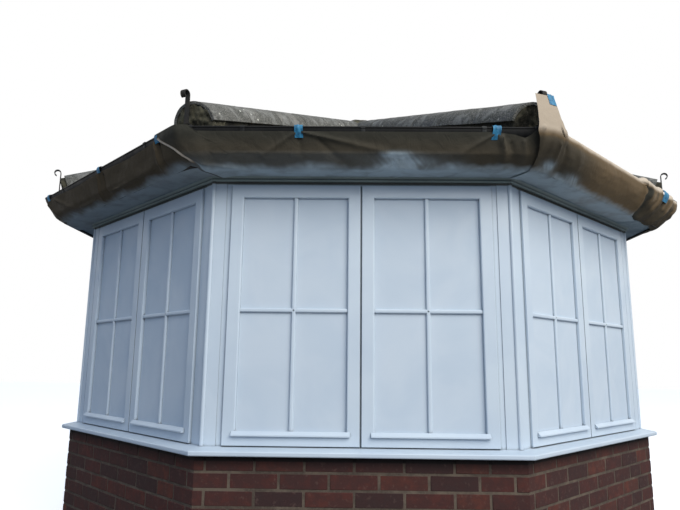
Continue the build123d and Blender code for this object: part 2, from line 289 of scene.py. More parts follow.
@dataclass(frozen=True)
class Place:
    """Where one copy of a repeated unit goes, how much is cut off its ends, and its tone."""

    at: Matrix
    left: float = 0.0
    right: float = 0.0
    tone: float = 0.5


def lay(name: str, unit: Piece, places: Sequence[Place]) -> Piece:
    """Lay many copies of a unit as one mesh, with a tone for each.

    Args:
        name: The new piece's name.
        unit: The unit, modelled once about the origin with its length along X.
        places: One entry for each copy.

    Returns:
        The new piece, with a point attribute called tone.
    """
    base = np.array([tuple(v.co) for v in unit.data.vertices])
    faces = [tuple(p.vertices) for p in unit.data.polygons]
    count = len(base)
    points, polygons, tones = [], [], []
    for index, place in enumerate(places):
        shape = base.copy()
        shape[:, 0] += np.where(base[:, 0] < 0, place.left, -place.right)
        turn = np.array(place.at.to_3x3())
        points.append(shape @ turn.T + np.array(place.at.translation))
        polygons.extend(tuple(v + index * count for v in face) for face in faces)
        tones.append(np.full(count, place.tone))
    mesh = bpy.data.meshes.new(name)
    mesh.from_pydata(np.concatenate(points).tolist(), [], polygons)
    tone = mesh.attributes.new("tone", "FLOAT", "POINT")
    tone.data.foreach_set("value", np.concatenate(tones))
    piece = bpy.data.objects.new(name, mesh)
    bpy.context.scene.collection.objects.link(piece)
    return piece


def trim_to(side: Side, piece: Piece) -> Piece:
    """Cut a side's piece at its corner planes or the house wall and turn it to its place.

    Args:
        side: The side that the piece belongs to.
        piece: The piece, made in the front face's frame.

    Returns:
        The same piece.
    """
    across, ahead = math.cos(PLAN.half), math.sin(PLAN.half)
    if side is Side.LEFT_RETURN:
        Bench.cut(piece, (-PLAN.back, 0, 0), (-1, 0, 0))
    else:
        Bench.cut(piece, (0, 0, 0), (-across, ahead, 0))
    if side is Side.RIGHT_RETURN:
        Bench.cut(piece, (PLAN.back, 0, 0), (1, 0, 0))
    else:
        Bench.cut(piece, (0, 0, 0), (across, ahead, 0))
    piece.data.transform(side.turned)
    return piece


# Finishes


class Graph:
    """Draws one node tree, for a material or a shared effect."""

    def __init__(self, tree: bpy.types.NodeTree) -> None:
        """Take an empty or new node tree."""
        self.tree = tree

    def feed(self, socket: Socket, value: Any) -> None:
        """Link a socket, or set its constant."""
        if isinstance(value, Socket):
            self.tree.links.new(value, socket)
        else:
            socket.default_value = value

    def node(self, kind: str, settings: dict[str, Any] | None = None, **inputs: Any) -> bpy.types.Node:
        """Add a node.

        Args:
            kind: The node's type name without ShaderNode.
            settings: Its properties.
            inputs: Its sockets by name, with underscores for spaces.

        Returns:
            The node.
        """
        made = self.tree.nodes.new("ShaderNode" + kind)
        for key, value in (settings or {}).items():
            setattr(made, key, value)
        self.fill(made, inputs)
        return made

    def fill(self, made: bpy.types.Node, inputs: dict[str, Any]) -> None:
        """Feed a node's sockets by name, with underscores for spaces."""
        for key, value in inputs.items():
            self.feed(made.inputs[key.replace("_", " ")], value)

    def place(self) -> Socket:
        """Object coordinates."""
        return self.node("TexCoord").outputs["Object"]

    def attribute(self, name: str) -> Socket:
        """A mesh attribute's value."""
        return self.node("Attribute", {"attribute_name": name}).outputs["Fac"]

    def rise(self, low: float, high: float) -> Socket:
        """0 below one height and 1 above another."""
        split = self.node("SeparateXYZ", Vector=self.place())
        return self.spread(split.outputs["Z"], low, high)

    def spread(self, value: Any, low: Any, high: Any) -> Socket:
        """0 below one level of a value, 1 above another and an even curve between."""
        made = self.node("MapRange", {"interpolation_type": "SMOOTHSTEP"}, Value=value, From_Min=low,
                         From_Max=high)
        return made.outputs["Result"]

    def noise(self, scale: Any, detail: float = 4.0, rough: float = 0.5, vector: Any = None,
              distortion: float = 0.0) -> Socket:
        """Noise on object coordinates or on another vector."""
        made = self.node("TexNoise", Vector=vector or self.place(), Scale=scale, Detail=detail,
                         Roughness=rough, Distortion=distortion)
        return made.outputs["Fac"]

    def stretch(self, scale: Sequence[float]) -> Socket:
        """Object coordinates stretched along the axes."""
        return self.node("Mapping", Vector=self.place(), Scale=scale).outputs["Vector"]

    def ramp(self, value: Any, *stops: tuple[float, Any]) -> Socket:
        """A colour ramp from (position, colour or grey) stops."""
        made = self.node("ValToRGB", Fac=value)
        elements = made.color_ramp.elements
        while len(elements) < len(stops):
            elements.new(0.5)
        for element, (position, colour) in zip(elements, stops):
            element.position = position
            element.color = colour if isinstance(colour, tuple) else (colour, colour, colour, 1.0)
        return made.outputs["Color"]

    def mix(self, mask: Any, low: Any, high: Any) -> Socket:
        """Mix two colours by a mask."""
        made = self.node("Mix", {"data_type": "RGBA"})
        for index, value in ((0, mask), (6, low), (7, high)):
            self.feed(made.inputs[index], value)
        return made.outputs[2]

    def veil(self, mask: Any, amount: float, low: Any, high: Any) -> Socket:
        """Mix two colours by a share of a mask."""
        return self.mix(self.sum("MULTIPLY", mask, amount), low, high)

    def sum(self, operation: str, first: Any, second: Any) -> Socket:
        """A Math node."""
        made = self.node("Math", {"operation": operation})
        self.feed(made.inputs[0], first)
        self.feed(made.inputs[1], second)
        return made.outputs[0]

    def bump(self, height: Any, strength: float, distance: float, normal: Any = None) -> Socket:
        """A bump normal from a height."""
        made = self.node("Bump", Height=height, Strength=strength, Distance=distance)
        if normal is not None:
            self.feed(made.inputs["Normal"], normal)
        return made.outputs["Normal"]

    def effect(self, group: bpy.types.NodeTree, **inputs: Any) -> bpy.types.Node:
        """Place a shared effect with its own values."""
        return self.node("Group", {"node_tree": group}, **inputs)


class Effects:
    """Shader node groups that several finishes share, each built once."""

    def __init__(self) -> None:
        """Build every group."""
        self.clouds = self.build("Spray_clouds", ("Scale", "Low", "High"), ("Mask",), self.draw_clouds)
        self.patina = self.build("Weather_patches", ("Scale", "Amount"), ("Mask", "Fine"), self.draw_patina)
        self.grit = self.build("Fine_grit", ("Scale",), ("Height",), self.draw_grit)

    @staticmethod
    def build(name: str, values: Sequence[str], results: Sequence[str],
              draw: Callable[[Graph, bpy.types.Node, bpy.types.Node], None]) -> bpy.types.NodeTree:
        """Make one group with named float inputs and outputs.

        Args:
            name: The group's name.
            values: Names of its inputs.
            results: Names of its outputs.
            draw: Draws the group's nodes between its two ends.

        Returns:
            The finished group.
        """
        tree = bpy.data.node_groups.new(name, "ShaderNodeTree")
        for value in values:
            tree.interface.new_socket(value, in_out="INPUT", socket_type="NodeSocketFloat")
        for result in results:
            tree.interface.new_socket(result, in_out="OUTPUT", socket_type="NodeSocketFloat")
        draw(Graph(tree), tree.nodes.new("NodeGroupInput"), tree.nodes.new("NodeGroupOutput"))
        return tree

    @staticmethod
    def draw_clouds(graph: Graph, start: bpy.types.Node, end: bpy.types.Node) -> None:
        """Soft drifts of overspray, between two levels of a noise."""
        drift = graph.noise(start.outputs["Scale"], 3.0, 0.55, None, 0.6)
        graph.feed(end.inputs["Mask"], graph.spread(drift, start.outputs["Low"], start.outputs["High"]))

    @staticmethod
    def draw_patina(graph: Graph, start: bpy.types.Node, end: bpy.types.Node) -> None:
        """Weathered patches with a fine speckle in them."""
        broad = graph.noise(start.outputs["Scale"], 6.0, 0.62)
        level = graph.sum("SUBTRACT", 1.0, start.outputs["Amount"])
        raised = graph.sum("SUBTRACT", broad, graph.sum("MULTIPLY", level, 0.7))
        sharp = graph.node("Math", {"operation": "MULTIPLY", "use_clamp": True})
        graph.feed(sharp.inputs[0], raised)
        graph.feed(sharp.inputs[1], 6.0)
        fine = graph.noise(graph.sum("MULTIPLY", start.outputs["Scale"], 14.0), 5.0, 0.7)
        graph.feed(end.inputs["Mask"], sharp.outputs[0])
        graph.feed(end.inputs["Fine"], fine)

    @staticmethod
    def draw_grit(graph: Graph, start: bpy.types.Node, end: bpy.types.Node) -> None:
        """A height of fine grit for bump."""
        graph.feed(end.inputs["Height"], graph.noise(start.outputs["Scale"], 6.0, 0.65))


class Finish:
    """One material. A subclass draws its colour, roughness and relief."""

    name = "finish"

    def __init__(self, effects: Effects) -> None:
        """Make the material and draw its nodes."""
        self.effects = effects
        self.material = bpy.data.materials.new(self.name)
        self.material.use_nodes = True
        self.graph = Graph(self.material.node_tree)
        self.shader = self.material.node_tree.nodes["Principled BSDF"]
        self.draw(self.graph)

    def draw(self, graph: Graph) -> None:
        """Draw the finish's nodes."""
        raise NotImplementedError

    def set(self, **inputs: Any) -> None:
        """Feed the shader's sockets."""
        self.graph.fill(self.shader, inputs)

    def clouds(self, scale: float, low: float, high: float) -> Socket:
        """The mask of soft drifts between two levels of a noise."""
        return self.graph.effect(self.effects.clouds, Scale=scale, Low=low, High=high).outputs["Mask"]

    def patches(self, scale: float, amount: float) -> Sequence[Socket]:
        """The mask of weathered patches, and the fine speckle in them."""
        made = self.graph.effect(self.effects.patina, Scale=scale, Amount=amount)
        return made.outputs["Mask"], made.outputs["Fine"]

    def grit(self, scale: float, strength: float, distance: float, under: Any = None) -> Socket:
        """The normal of a gritty face, on another relief if there is one."""
        height = self.graph.effect(self.effects.grit, Scale=scale).outputs["Height"]
        return self.graph.bump(height, strength, distance, under)

    def coat(self, piece: Piece) -> None:
        """Put the finish on a piece."""
        if not piece.data.materials:
            piece.data.materials.append(self.material)
        for slot in piece.material_slots:
            slot.link = "OBJECT"
            slot.material = self.material


class SprayedPaint(Finish):
    """Fresh sprayed satin paint on planed timber."""

    name = "Sprayed_paint"
    tone = tint(198, 211, 223)
    shade = tint(190, 204, 218)
    # Reach of the painted shade in hollows, taken from ambient occlusion.
    hollow_shade = 0.016
    # Heights of a painted shadow band on the frame heads, just under the bed mould.
    shade_band_from = PLAN.casement_high + 0.002
    shade_band_to = PLAN.casement_high + 0.010

    def draw(self, graph: Graph) -> None:
        """Even paint with faint drifts, with painted shade in the hollows and a painted shadow band under the
        bed mould.
        """
        drift = self.clouds(2.6, 0.35, 0.72)
        colour = graph.mix(drift, self.tone, self.shade)
        fleck = graph.ramp(graph.noise(240.0, 2.0), (0.70, 0.0), (0.80, 1.0))
        colour = graph.veil(fleck, 0.10, colour, tint(165, 172, 178))
        # Painted shade: ambient occlusion darkens the paint in crevices and recesses.
        hollow_shade = graph.node("AmbientOcclusion", {"samples": 6}, Distance=self.hollow_shade).outputs["AO"]
        colour = graph.mix(graph.ramp(hollow_shade, (0.25, 0.90), (0.85, 0.0)), colour, tint(84, 92, 98))
        # Painted shadow: a dark band on the frame heads under the bed mould.
        colour = graph.mix(graph.rise(self.shade_band_from, self.shade_band_to), colour, tint(84, 86, 82))
        grain = graph.noise(9.0, 5.0, 0.6, graph.stretch((14.0, 14.0, 0.7)))
        self.set(Base_Color=colour, Roughness=graph.ramp(drift, (0.0, 0.38), (1.0, 0.50)),
                 Normal=self.grit(420.0, 0.16, 0.0004, graph.bump(grain, 0.10, 0.0006)),
                 Specular_IOR_Level=0.42)


class SprayedMould(SprayedPaint):
    """The bed mould, which took little of the paint; its dark tones are also painted shade under the soffit.
    """

    name = "Sprayed_mould"
    # Dark tones: partly the mould's thin paint, partly painted shade under the soffit.
    tone = tint(142, 156, 154)
    shade = tint(124, 138, 138)
    # The painted shadow band is lifted above the soffit, off the mould.
    shade_band_from = PLAN.soffit + 0.1
    shade_band_to = PLAN.soffit + 0.2


class SprayedPane(Finish):
    """Glass that was masked and sprayed over with the frames."""

    name = "Oversprayed_pane"

    def draw(self, graph: Graph) -> None:
        """A matt blue-grey coat with soft drifts."""
        drift = self.clouds(3.4, 0.30, 0.75)
        self.set(Base_Color=graph.mix(drift, tint(197, 209, 221), tint(189, 203, 217)),
                 Roughness=graph.ramp(drift, (0.0, 0.52), (1.0, 0.66)),
                 Normal=self.grit(520.0, 0.14, 0.0004), Specular_IOR_Level=0.30)


# Painted shadow under the sill's nosing: ramp stops that darken bricks and mortar nearly to black towards the
# plinth's top, starting at the height below.
SILL_SHADOW = ((0.0, 0.0), (0.55, 0.40), (0.78, 0.58), (0.85, 0.95))
SILL_SHADOW_FROM = 0.66


class Brick(Finish):
    """Multi red bricks, each with its own tone."""

    name = "Multi_red_brick"

    def draw(self, graph: Graph) -> None:
        """Tones from brick to brick, dark patches, pale bloom, a sanded face and a painted shadow under the
        sill.
        """
        body = graph.ramp(graph.attribute("tone"), (0.0, tint(54, 36, 36)), (0.25, tint(63, 38, 36)),
                          (0.7, tint(77, 42, 38)), (1.0, tint(89, 50, 41)))
        patch, fine = self.patches(16.0, 0.46)
        body = graph.veil(patch, 0.5, body, tint(50, 38, 38))
        bloom = graph.ramp(graph.noise(38.0, 6.0, 0.7), (0.56, 0.0), (0.76, 1.0))
        body = graph.veil(bloom, 0.30, body, tint(132, 108, 98))
        # Painted shadow under the sill: the top courses darken nearly to black.
        body = graph.mix(graph.ramp(graph.rise(SILL_SHADOW_FROM, PLAN.plinth_top), *SILL_SHADOW), body, tint(14, 12, 14))
        crease = graph.noise(42.0, 5.0, 0.65)
        self.set(Base_Color=body, Roughness=graph.ramp(fine, (0.3, 0.78), (0.7, 0.92)),
                 Normal=self.grit(260.0, 0.35, 0.0012, graph.bump(crease, 0.5, 0.0022)),
                 Specular_IOR_Level=0.25)


class Mortar(Finish):
    """Weathered cream-grey mortar."""

    name = "Cream_mortar"
    body = tint(100, 89, 78)
    stain = tint(75, 66, 59)
    crumb = tint(126, 113, 100)
    # Stops of the painted shadow under the sill, and of painted shade by tone (none for the plinth's mortar).
    sill_shadow = SILL_SHADOW
    painted_shade = ((0.0, 0.0), (1.0, 0.0))

    def draw(self, graph: Graph) -> None:
        """Sandy mortar with darker damp patches, a painted shadow under the sill and painted shade by tone.
        """
        patch, fine = self.patches(7.0, 0.45)
        colour = graph.mix(patch, self.body, self.stain)
        colour = graph.mix(graph.ramp(fine, (0.45, 0.0), (0.75, 0.35)), colour, self.crumb)
        # Painted shadow under the sill, then painted shade from the tone attribute.
        shade = graph.ramp(graph.rise(SILL_SHADOW_FROM, PLAN.plinth_top), *self.sill_shadow)
        colour = graph.mix(shade, colour, tint(14, 12, 14))
        colour = graph.mix(graph.ramp(graph.attribute("tone"), *self.painted_shade), colour, tint(14, 14, 13))
        self.set(Base_Color=colour, Roughness=graph.ramp(fine, (0.3, 0.85), (0.7, 0.97)),
                 Normal=self.grit(330.0, 0.6, 0.002), Specular_IOR_Level=0.2)


class Bedding(Mortar):
    """Greenish weathered mortar under the cap tiles, with painted shade where it lies under the caps."""

    name = "Mossy_mortar"
    body = tint(100, 97, 80)
    stain = tint(34, 34, 28)
    crumb = tint(142, 136, 118)
    sill_shadow = ((0.0, 0.0), (1.0, 0.0))
    # Painted shade: low tones, given to the beds under the caps and to the shaded cap ends, darken nearly to
    # black.
    painted_shade = ((0.0, 0.9), (0.6, 0.0))


class MaskingPaper(Finish):
    """Brown masking paper with drifts of pale overspray."""

    name = "Masking_paper"

    def draw(self, graph: Graph) -> None:
        """Kraft fibres, creases and overspray that thickens underneath, with painted light and shade on the
        paper.
        """
        fibre = graph.noise(60.0, 6.0, 0.65, graph.stretch((1.0, 1.0, 5.0)))
        # Painted light and shade: the darkest paper is painted shade on faces that look down, and the palest
        # is a painted highlight on the rim and flap as well as the pale fibres of torn edges.
        paper_shade = graph.mix(fibre, tint(50, 50, 44), tint(60, 59, 53))
        brown = graph.mix(fibre, tint(98, 83, 62), tint(112, 95, 72))
        crisp = graph.mix(fibre, tint(196, 183, 166), tint(206, 193, 176))
        light_and_fibres = graph.attribute("light_and_fibres")
        colour = graph.mix(graph.ramp(light_and_fibres, (0.0, 0.0), (0.15, 1.0)), paper_shade, brown)
        colour = graph.mix(graph.ramp(light_and_fibres, (0.15, 0.0), (1.0, 1.0)), colour, crisp)
        haze = self.clouds(9.0, 0.25, 0.60)
        cover = graph.sum("MULTIPLY", graph.attribute("spray"), graph.ramp(haze, (0.0, 0.60), (1.0, 1.0)))
        colour = graph.mix(cover, colour, tint(170, 186, 196))
        crumple = graph.noise(11.0, 4.0, 0.55, None, 1.2)
        self.set(Base_Color=colour, Roughness=graph.ramp(haze, (0.0, 0.62), (1.0, 0.80)),
                 Normal=self.grit(90.0, 0.12, 0.002, graph.bump(crumple, 0.5, 0.01)),
                 Specular_IOR_Level=0.15)


class BlueTape(Finish):
    """Crumpled blue masking tape."""

    name = "Blue_tape"

    def draw(self, graph: Graph) -> None:
        """Bright blue crepe with fine ridges and scuffs."""
        crepe = graph.noise(420.0, 3.0, 0.6, graph.stretch((1.0, 1.0, 0.25)))
        colour = graph.mix(crepe, tint(26, 98, 138), tint(54, 138, 178))
        colour = graph.veil(self.clouds(60.0, 0.42, 0.62), 0.55, colour, tint(14, 62, 96))
        self.set(Base_Color=colour, Roughness=graph.ramp(crepe, (0.0, 0.45), (1.0, 0.62)),
                 Normal=graph.bump(crepe, 0.3, 0.0006), Specular_IOR_Level=0.4)


class RoofTile(Finish):
    """Dark weathered roof tiles, each with its own tone."""

    name = "Dark_roof_tile"

    def draw(self, graph: Graph) -> None:
        """Grey-brown tiles with moss and pale lichen."""
        body = graph.ramp(graph.attribute("tone"), (0.0, tint(58, 55, 52)), (0.5, tint(78, 74, 70)),
                          (1.0, tint(96, 90, 84)))
        patch, fine = self.patches(9.0, 0.36)
        body = graph.veil(patch, 0.5, body, tint(92, 96, 72))
        spot = graph.ramp(graph.noise(34.0, 3.0), (0.66, 0.0), (0.72, 1.0))
        body = graph.veil(spot, 0.7, body, tint(158, 160, 148))
        self.set(Base_Color=body, Roughness=graph.ramp(fine, (0.3, 0.72), (0.7, 0.92)),
                 Normal=self.grit(220.0, 0.4, 0.0015), Specular_IOR_Level=0.3)


class CapTile(Finish):
    """Weathered grey cap tiles with white lichen."""

    name = "Grey_cap_tile"

    def draw(self, graph: Graph) -> None:
        """Grey clay with pale blooms, moss and round lichen spots."""
        patch, fine = self.patches(11.0, 0.50)
        body = graph.mix(graph.attribute("tone"), tint(70, 72, 75), tint(126, 124, 118))
        body = graph.veil(patch, 0.7, body, tint(52, 54, 50))
        body = graph.mix(graph.ramp(fine, (0.48, 0.0), (0.66, 0.75)), body, tint(158, 156, 148))
        body = graph.veil(self.clouds(14.0, 0.50, 0.66), 0.45, body, tint(150, 150, 146))
        cells = graph.node("TexVoronoi", {"feature": "F1"}, Scale=26.0)
        graph.feed(cells.inputs["Vector"], graph.place())
        spot = graph.ramp(cells.outputs["Distance"], (0.10, 1.0), (0.19, 0.0))
        chosen = graph.ramp(graph.noise(5.0, 2.0), (0.54, 0.0), (0.60, 1.0))
        body = graph.mix(graph.sum("MULTIPLY", spot, chosen), body, tint(214, 214, 202))
        self.set(Base_Color=body, Roughness=graph.ramp(fine, (0.3, 0.75), (0.7, 0.95)),
                 Normal=self.grit(160.0, 0.5, 0.002), Specular_IOR_Level=0.25)


class WeatheredBlack(Finish):
    """Black gutters with a dusty bloom."""

    name = "Weathered_black_gutter"
    tone = tint(14, 15, 17)
    bloom = tint(30, 31, 32)
    gloss = (0.50, 0.75)
    sheen = 0.15

    def draw(self, graph: Graph) -> None:
        """Dark body, dusty patches and faint runs."""
        patch, fine = self.patches(6.0, 0.42)
        run = graph.noise(7.0, 4.0, 0.6, graph.stretch((9.0, 9.0, 0.8)))
        mask = graph.sum("MULTIPLY", patch, graph.ramp(run, (0.35, 0.2), (0.7, 1.0)))
        self.set(Base_Color=graph.mix(mask, self.tone, self.bloom),
                 Roughness=graph.ramp(mask, (0.0, self.gloss[0]), (1.0, self.gloss[1])),
                 Normal=graph.bump(fine, 0.08, 0.001), Specular_IOR_Level=self.sheen)


class Collar(WeatheredBlack):
    """Gutter fittings, a little greyer than the gutter."""

    name = "Grey_gutter_fitting"
    tone = tint(30, 31, 33)
    bloom = tint(62, 64, 64)


class HazedBoard(WeatheredBlack):
    """The soffit, hazed over by the paint."""

    name = "Hazed_soffit"
    tone = tint(116, 130, 138)
    bloom = tint(152, 166, 174)
    gloss = (0.55, 0.7)


class StainedBoard(WeatheredBlack):
    """Dark stained boards behind the gutter."""

    name = "Dark_stained_board"
    tone = tint(48, 44, 40)
    bloom = tint(74, 70, 64)
    gloss = (0.6, 0.85)


class WroughtIron(WeatheredBlack):
    """Dull black wrought iron with a little rust."""

    name = "Wrought_iron"
    tone = tint(30, 33, 35)
    bloom = tint(60, 55, 50)
    gloss = (0.5, 0.8)


class SawnTimber(Finish):
    """Sawn softwood with grain along its length."""

    name = "Sawn_softwood"

    def draw(self, graph: Graph) -> None:
        """Straw-brown wood with rings and saw marks."""
        ring = graph.noise(6.0, 6.0, 0.6, graph.stretch((1.0, 1.0, 9.0)), 0.8)
        colour = graph.ramp(ring, (0.25, tint(150, 118, 78)), (0.5, tint(184, 150, 104)),
                            (0.75, tint(202, 172, 126)))
        saw = graph.noise(120.0, 2.0, 0.5, graph.stretch((1.0, 1.0, 0.1)))
        self.set(Base_Color=colour, Roughness=graph.ramp(ring, (0.3, 0.7), (0.7, 0.85)),
                 Normal=graph.bump(saw, 0.2, 0.001))


class Plaster(Finish):
    """Matt painted wall plaster."""

    name = "Wall_plaster"

    def draw(self, graph: Graph) -> None:
        """Off-white emulsion with a faint roller texture."""
        patch = self.clouds(1.7, 0.3, 0.7)
        self.set(Base_Color=graph.mix(patch, tint(226, 222, 212), tint(218, 213, 202)),
                 Roughness=graph.ramp(patch, (0.0, 0.85), (1.0, 0.93)), Normal=self.grit(180.0, 0.2, 0.001))


class Concrete(Finish):
    """Floated concrete floor."""

    name = "Floated_concrete"

    def draw(self, graph: Graph) -> None:
        """Mottled grey with trowel sweeps."""
        patch, fine = self.patches(2.4, 0.5)
        self.set(Base_Color=graph.mix(patch, tint(164, 160, 152), tint(146, 142, 134)),
                 Roughness=graph.ramp(fine, (0.3, 0.7), (0.7, 0.9)), Normal=self.grit(120.0, 0.25, 0.0015))


class Finishes:
    """Every finish, made once."""

    def __init__(self) -> None:
        """Make the shared effects and then the finishes."""
        effects = Effects()
        self.paint = SprayedPaint(effects)
        self.mould = SprayedMould(effects)
        self.pane = SprayedPane(effects)
        self.brick = Brick(effects)
        self.mortar = Mortar(effects)
        self.bedding = Bedding(effects)
        self.paper = MaskingPaper(effects)
        self.tape = BlueTape(effects)
        self.tile = RoofTile(effects)
        self.cap = CapTile(effects)
        self.gutter = WeatheredBlack(effects)
        self.collar = Collar(effects)
        self.board = StainedBoard(effects)
        self.soffit = HazedBoard(effects)
        self.iron = WroughtIron(effects)
        self.timber = SawnTimber(effects)
        self.plaster = Plaster(effects)
        self.concrete = Concrete(effects)


@dataclass
class Assembly:
    """A sub-assembly: builds its pieces, dresses them and says what they ride on."""

    finishes: Finishes

    def keep(self, piece: Piece, finish: Finish, slot: str, *nodes: str) -> Piece:
        """Dress a new piece, let it ride on the root and replace its CAD nodes.

        Args:
            piece: The new mesh object.
            finish: Its material.
            slot: Not used.
            nodes: The CAD nodes that it stands for.

        Returns:
            The same piece.
        """
        finish.coat(piece)
        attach(piece, "root")
        if nodes:
            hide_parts(*nodes)
        LOG.info("%s: %d faces", piece.name, len(piece.data.polygons))
        return piece

    def dress(self, finish: Finish, *nodes: str) -> None:
        """Give CAD nodes a finish."""
        for node in nodes:
            finish.coat(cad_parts[node])
            LOG.info("%s: dressed in %s", node, finish.name)


# Masonry


@dataclass
class BrickPlinth(Assembly):
    """The brick plinth: ten courses in stretcher bond with angled corner bricks."""

    length: float = 0.215
    height: float = 0.065
    leaf: float = 0.1025
    joint: float = 0.010
    course: float = 0.075
    courses: int = 10
    out: float = 0.040
    recess: float = 0.002
    shy: float = 0.003
    arris: float = 0.003
    first_bed: float = 0.0725
    corner_gap: float = 0.03
    over_corner: float = 0.05
    behind: float = 0.0005
    uneven: float = 0.0009
    uneven_bed: float = 0.0006
    uneven_turn: float = 0.004
    seed_step: int = 97
    joints: dict[bool, tuple[float, ...]] = field(default_factory=lambda: {
        True: (-0.703, -0.478, -0.253, -0.028, 0.197, 0.422, 0.581),
        False: (-0.592, -0.367, -0.142, 0.083, 0.308, 0.533, 0.692)})

    def unit(self) -> Piece:
        """One brick about the origin, its face towards -Y, with worn arrises."""
        size = (self.length / 2, self.leaf / 2, self.height / 2)
        brick = Bench.block("brick_unit", [-s for s in size], size)
        return Bench.bevel(brick, lambda middle, way: True, offset=self.arris, segments=1, profile=0.6)

    def ends(self, side: Side, even: bool) -> list[float]:
        """The upright joints of one course on one side.

        Args:
            side: The side.
            even: Whether the course is one of the top one's kind.

        Returns:
            Joint centres from left to right, with the two ends of the wall.
        """
        low, high = side.span(self.out)
        step = self.length + self.joint
        seams = list(self.joints[even])
        if side is Side.RIGHT_RETURN:
            seams = [seams[0] + step * i for i in range(12)]
        elif side is Side.LEFT_RETURN:
            seams = [seams[-1] - step * i for i in range(12)][::-1]
        edge = self.joint / 2
        first = low - edge if side is Side.LEFT_RETURN else low - 3 * edge
        last = high + edge if side is Side.RIGHT_RETURN else high + 3 * edge
        return [first, *(x for x in seams if low + self.corner_gap < x < high - self.corner_gap), last]

    def places(self, side: Side, order: int, chance: random.Random) -> Iterable[Place]:
        """Every brick of one side, from the top course down."""
        depth = -PLAN.inradius - self.out + self.leaf / 2
        for row in range(self.courses):
            z = PLAN.plinth_top - self.first_bed - self.course * row + self.joint / 2 + self.height / 2
            seams = self.ends(side, row % 2 == 0)
            for index, (start, end) in enumerate(zip(seams, seams[1:])):
                trim = (self.length + self.joint - (end - start)) / 2
                tone = chance.random()
                if index == 0 and side is not Side.LEFT_RETURN:
                    tone = random.Random(order * self.seed_step + row).random()
                if index == len(seams) - 2 and side is not Side.RIGHT_RETURN:
                    tone = random.Random((order + 1) * self.seed_step + row).random()
                y = depth + chance.uniform(-self.uneven, self.uneven)
                level = z + chance.uniform(-self.uneven_bed, self.uneven_bed)
                place = Matrix.Translation(((start + end) / 2, y, level))
                tilt = Matrix.Rotation(chance.uniform(-self.uneven_turn, self.uneven_turn), 4, "Z")
                yield Place(place @ tilt, trim, trim, tone)

    def bed(self, side: Side) -> Piece:
        """The mortar of one side, a little behind the bricks' faces."""
        low, high = side.span(self.out)
        low += self.shy if side is Side.LEFT_RETURN else -self.over_corner
        high -= self.shy if side is Side.RIGHT_RETURN else -self.over_corner
        face = -PLAN.inradius - self.out
        mortar = Bench.block("mortar_" + side.label, (low, face + self.recess, 0.0),
                             (high, face + self.leaf - self.behind, PLAN.plinth_top))
        return trim_to(side, mortar)

    def build(self) -> None:
        """Lay the five sides."""
        unit = self.unit()
        for order, side in enumerate(Side):
            chance = random.Random(400 + order)
            bricks = lay("bricks_" + side.label, unit, list(self.places(side, order, chance)))
            trim_to(side, bricks)
            Bench.smooth(bricks, 40.0)
            self.keep(bricks, self.finishes.brick, "brick", "brick_" + side.label)
            self.keep(self.bed(side), self.finishes.mortar, "brick", "brick_" + side.label)
        Bench.drop(unit)


# Windows


@dataclass
class Windows(Assembly):
    """Glazing bars and the finishes of the sills, posts, frames and casements."""

    margin: float = 0.095
    gap: float = 0.008
    bar_width: float = 0.020
    bar_nose: float = 0.003
    bar_height: float = 1.412
    ovolo: float = 0.0065

    def spans(self, is_return: bool) -> list[tuple[float, float]]:
        """The x limits of each casement on a face."""
        low = -PLAN.face_width / 2 + self.margin
        high = PLAN.back - self.margin if is_return else -low
        count = 3 if is_return else 2
        width = (high - low - self.gap * (count - 1)) / count
        return [(low + i * (width + self.gap), low + i * (width + self.gap) + width) for i in range(count)]

    def bar(self, name: str, low: Sequence[float], high: Sequence[float], upright: bool) -> Piece:
        """One moulded glazing bar with an ovolo down each side.

        Args:
            name: The bar's name.
            low: Its lowest corner.
            high: Its highest corner.
            upright: Whether it stands, rather than lies.

        Returns:
            The bar.
        """
        bar = Bench.block(name, low, high)
        nose = low[1] + 1e-5
        long_way = 2 if upright else 0

        def is_arris(middle: Vector, way: Vector) -> bool:
            """Whether an edge runs along the bar's nose."""
            return abs(way[long_way]) > 0.9 and middle.y < nose
        return Bench.bevel(bar, is_arris, offset=self.ovolo, segments=5, profile=0.5)

    def bars(self, x0: float, x1: float) -> list[Piece]:
        """The cross of bars in one casement on the front face."""
        front = -PLAN.inradius - self.bar_nose
        back = -PLAN.inradius - PLAN.glass_front + 0.0002
        half = self.bar_width / 2
        middle = (x0 + x1) / 2
        low, high = PLAN.casement_low + PLAN.rail, PLAN.casement_high - PLAN.rail
        upright = self.bar("bar_upright", (middle - half, front, low), (middle + half, back, high), True)
        level = self.bar("bar_level", (x0 + PLAN.stile, front, self.bar_height - half),
                         (x1 - PLAN.stile, back, self.bar_height + half), False)
        return [upright, level]

    def build(self) -> None:
        """Make the bars of every face and paint the timber."""
        for is_return in (False, True):
            made = [bar for span in self.spans(is_return) for bar in self.bars(*span)]
            pattern = Bench.join("glazing_bars", made)
            Bench.smooth(pattern, 50.0)
            for side in Side:
                if side.is_return == is_return:
                    bars = Bench.copy(pattern, "glazing_bars_" + side.label, side.mirrored)
                    self.keep(bars, self.finishes.paint, "painted_casement")
            Bench.drop(pattern)
        timber = [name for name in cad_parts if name.startswith(("sill", "frame", "casement"))]
        self.dress(self.finishes.paint, *timber, "corner_posts", "wall_posts", "window_board")
        self.dress(self.finishes.mould, "bed_mould")
        self.dress(self.finishes.pane, "glass_front_faces", "glass_returns")


# Roof


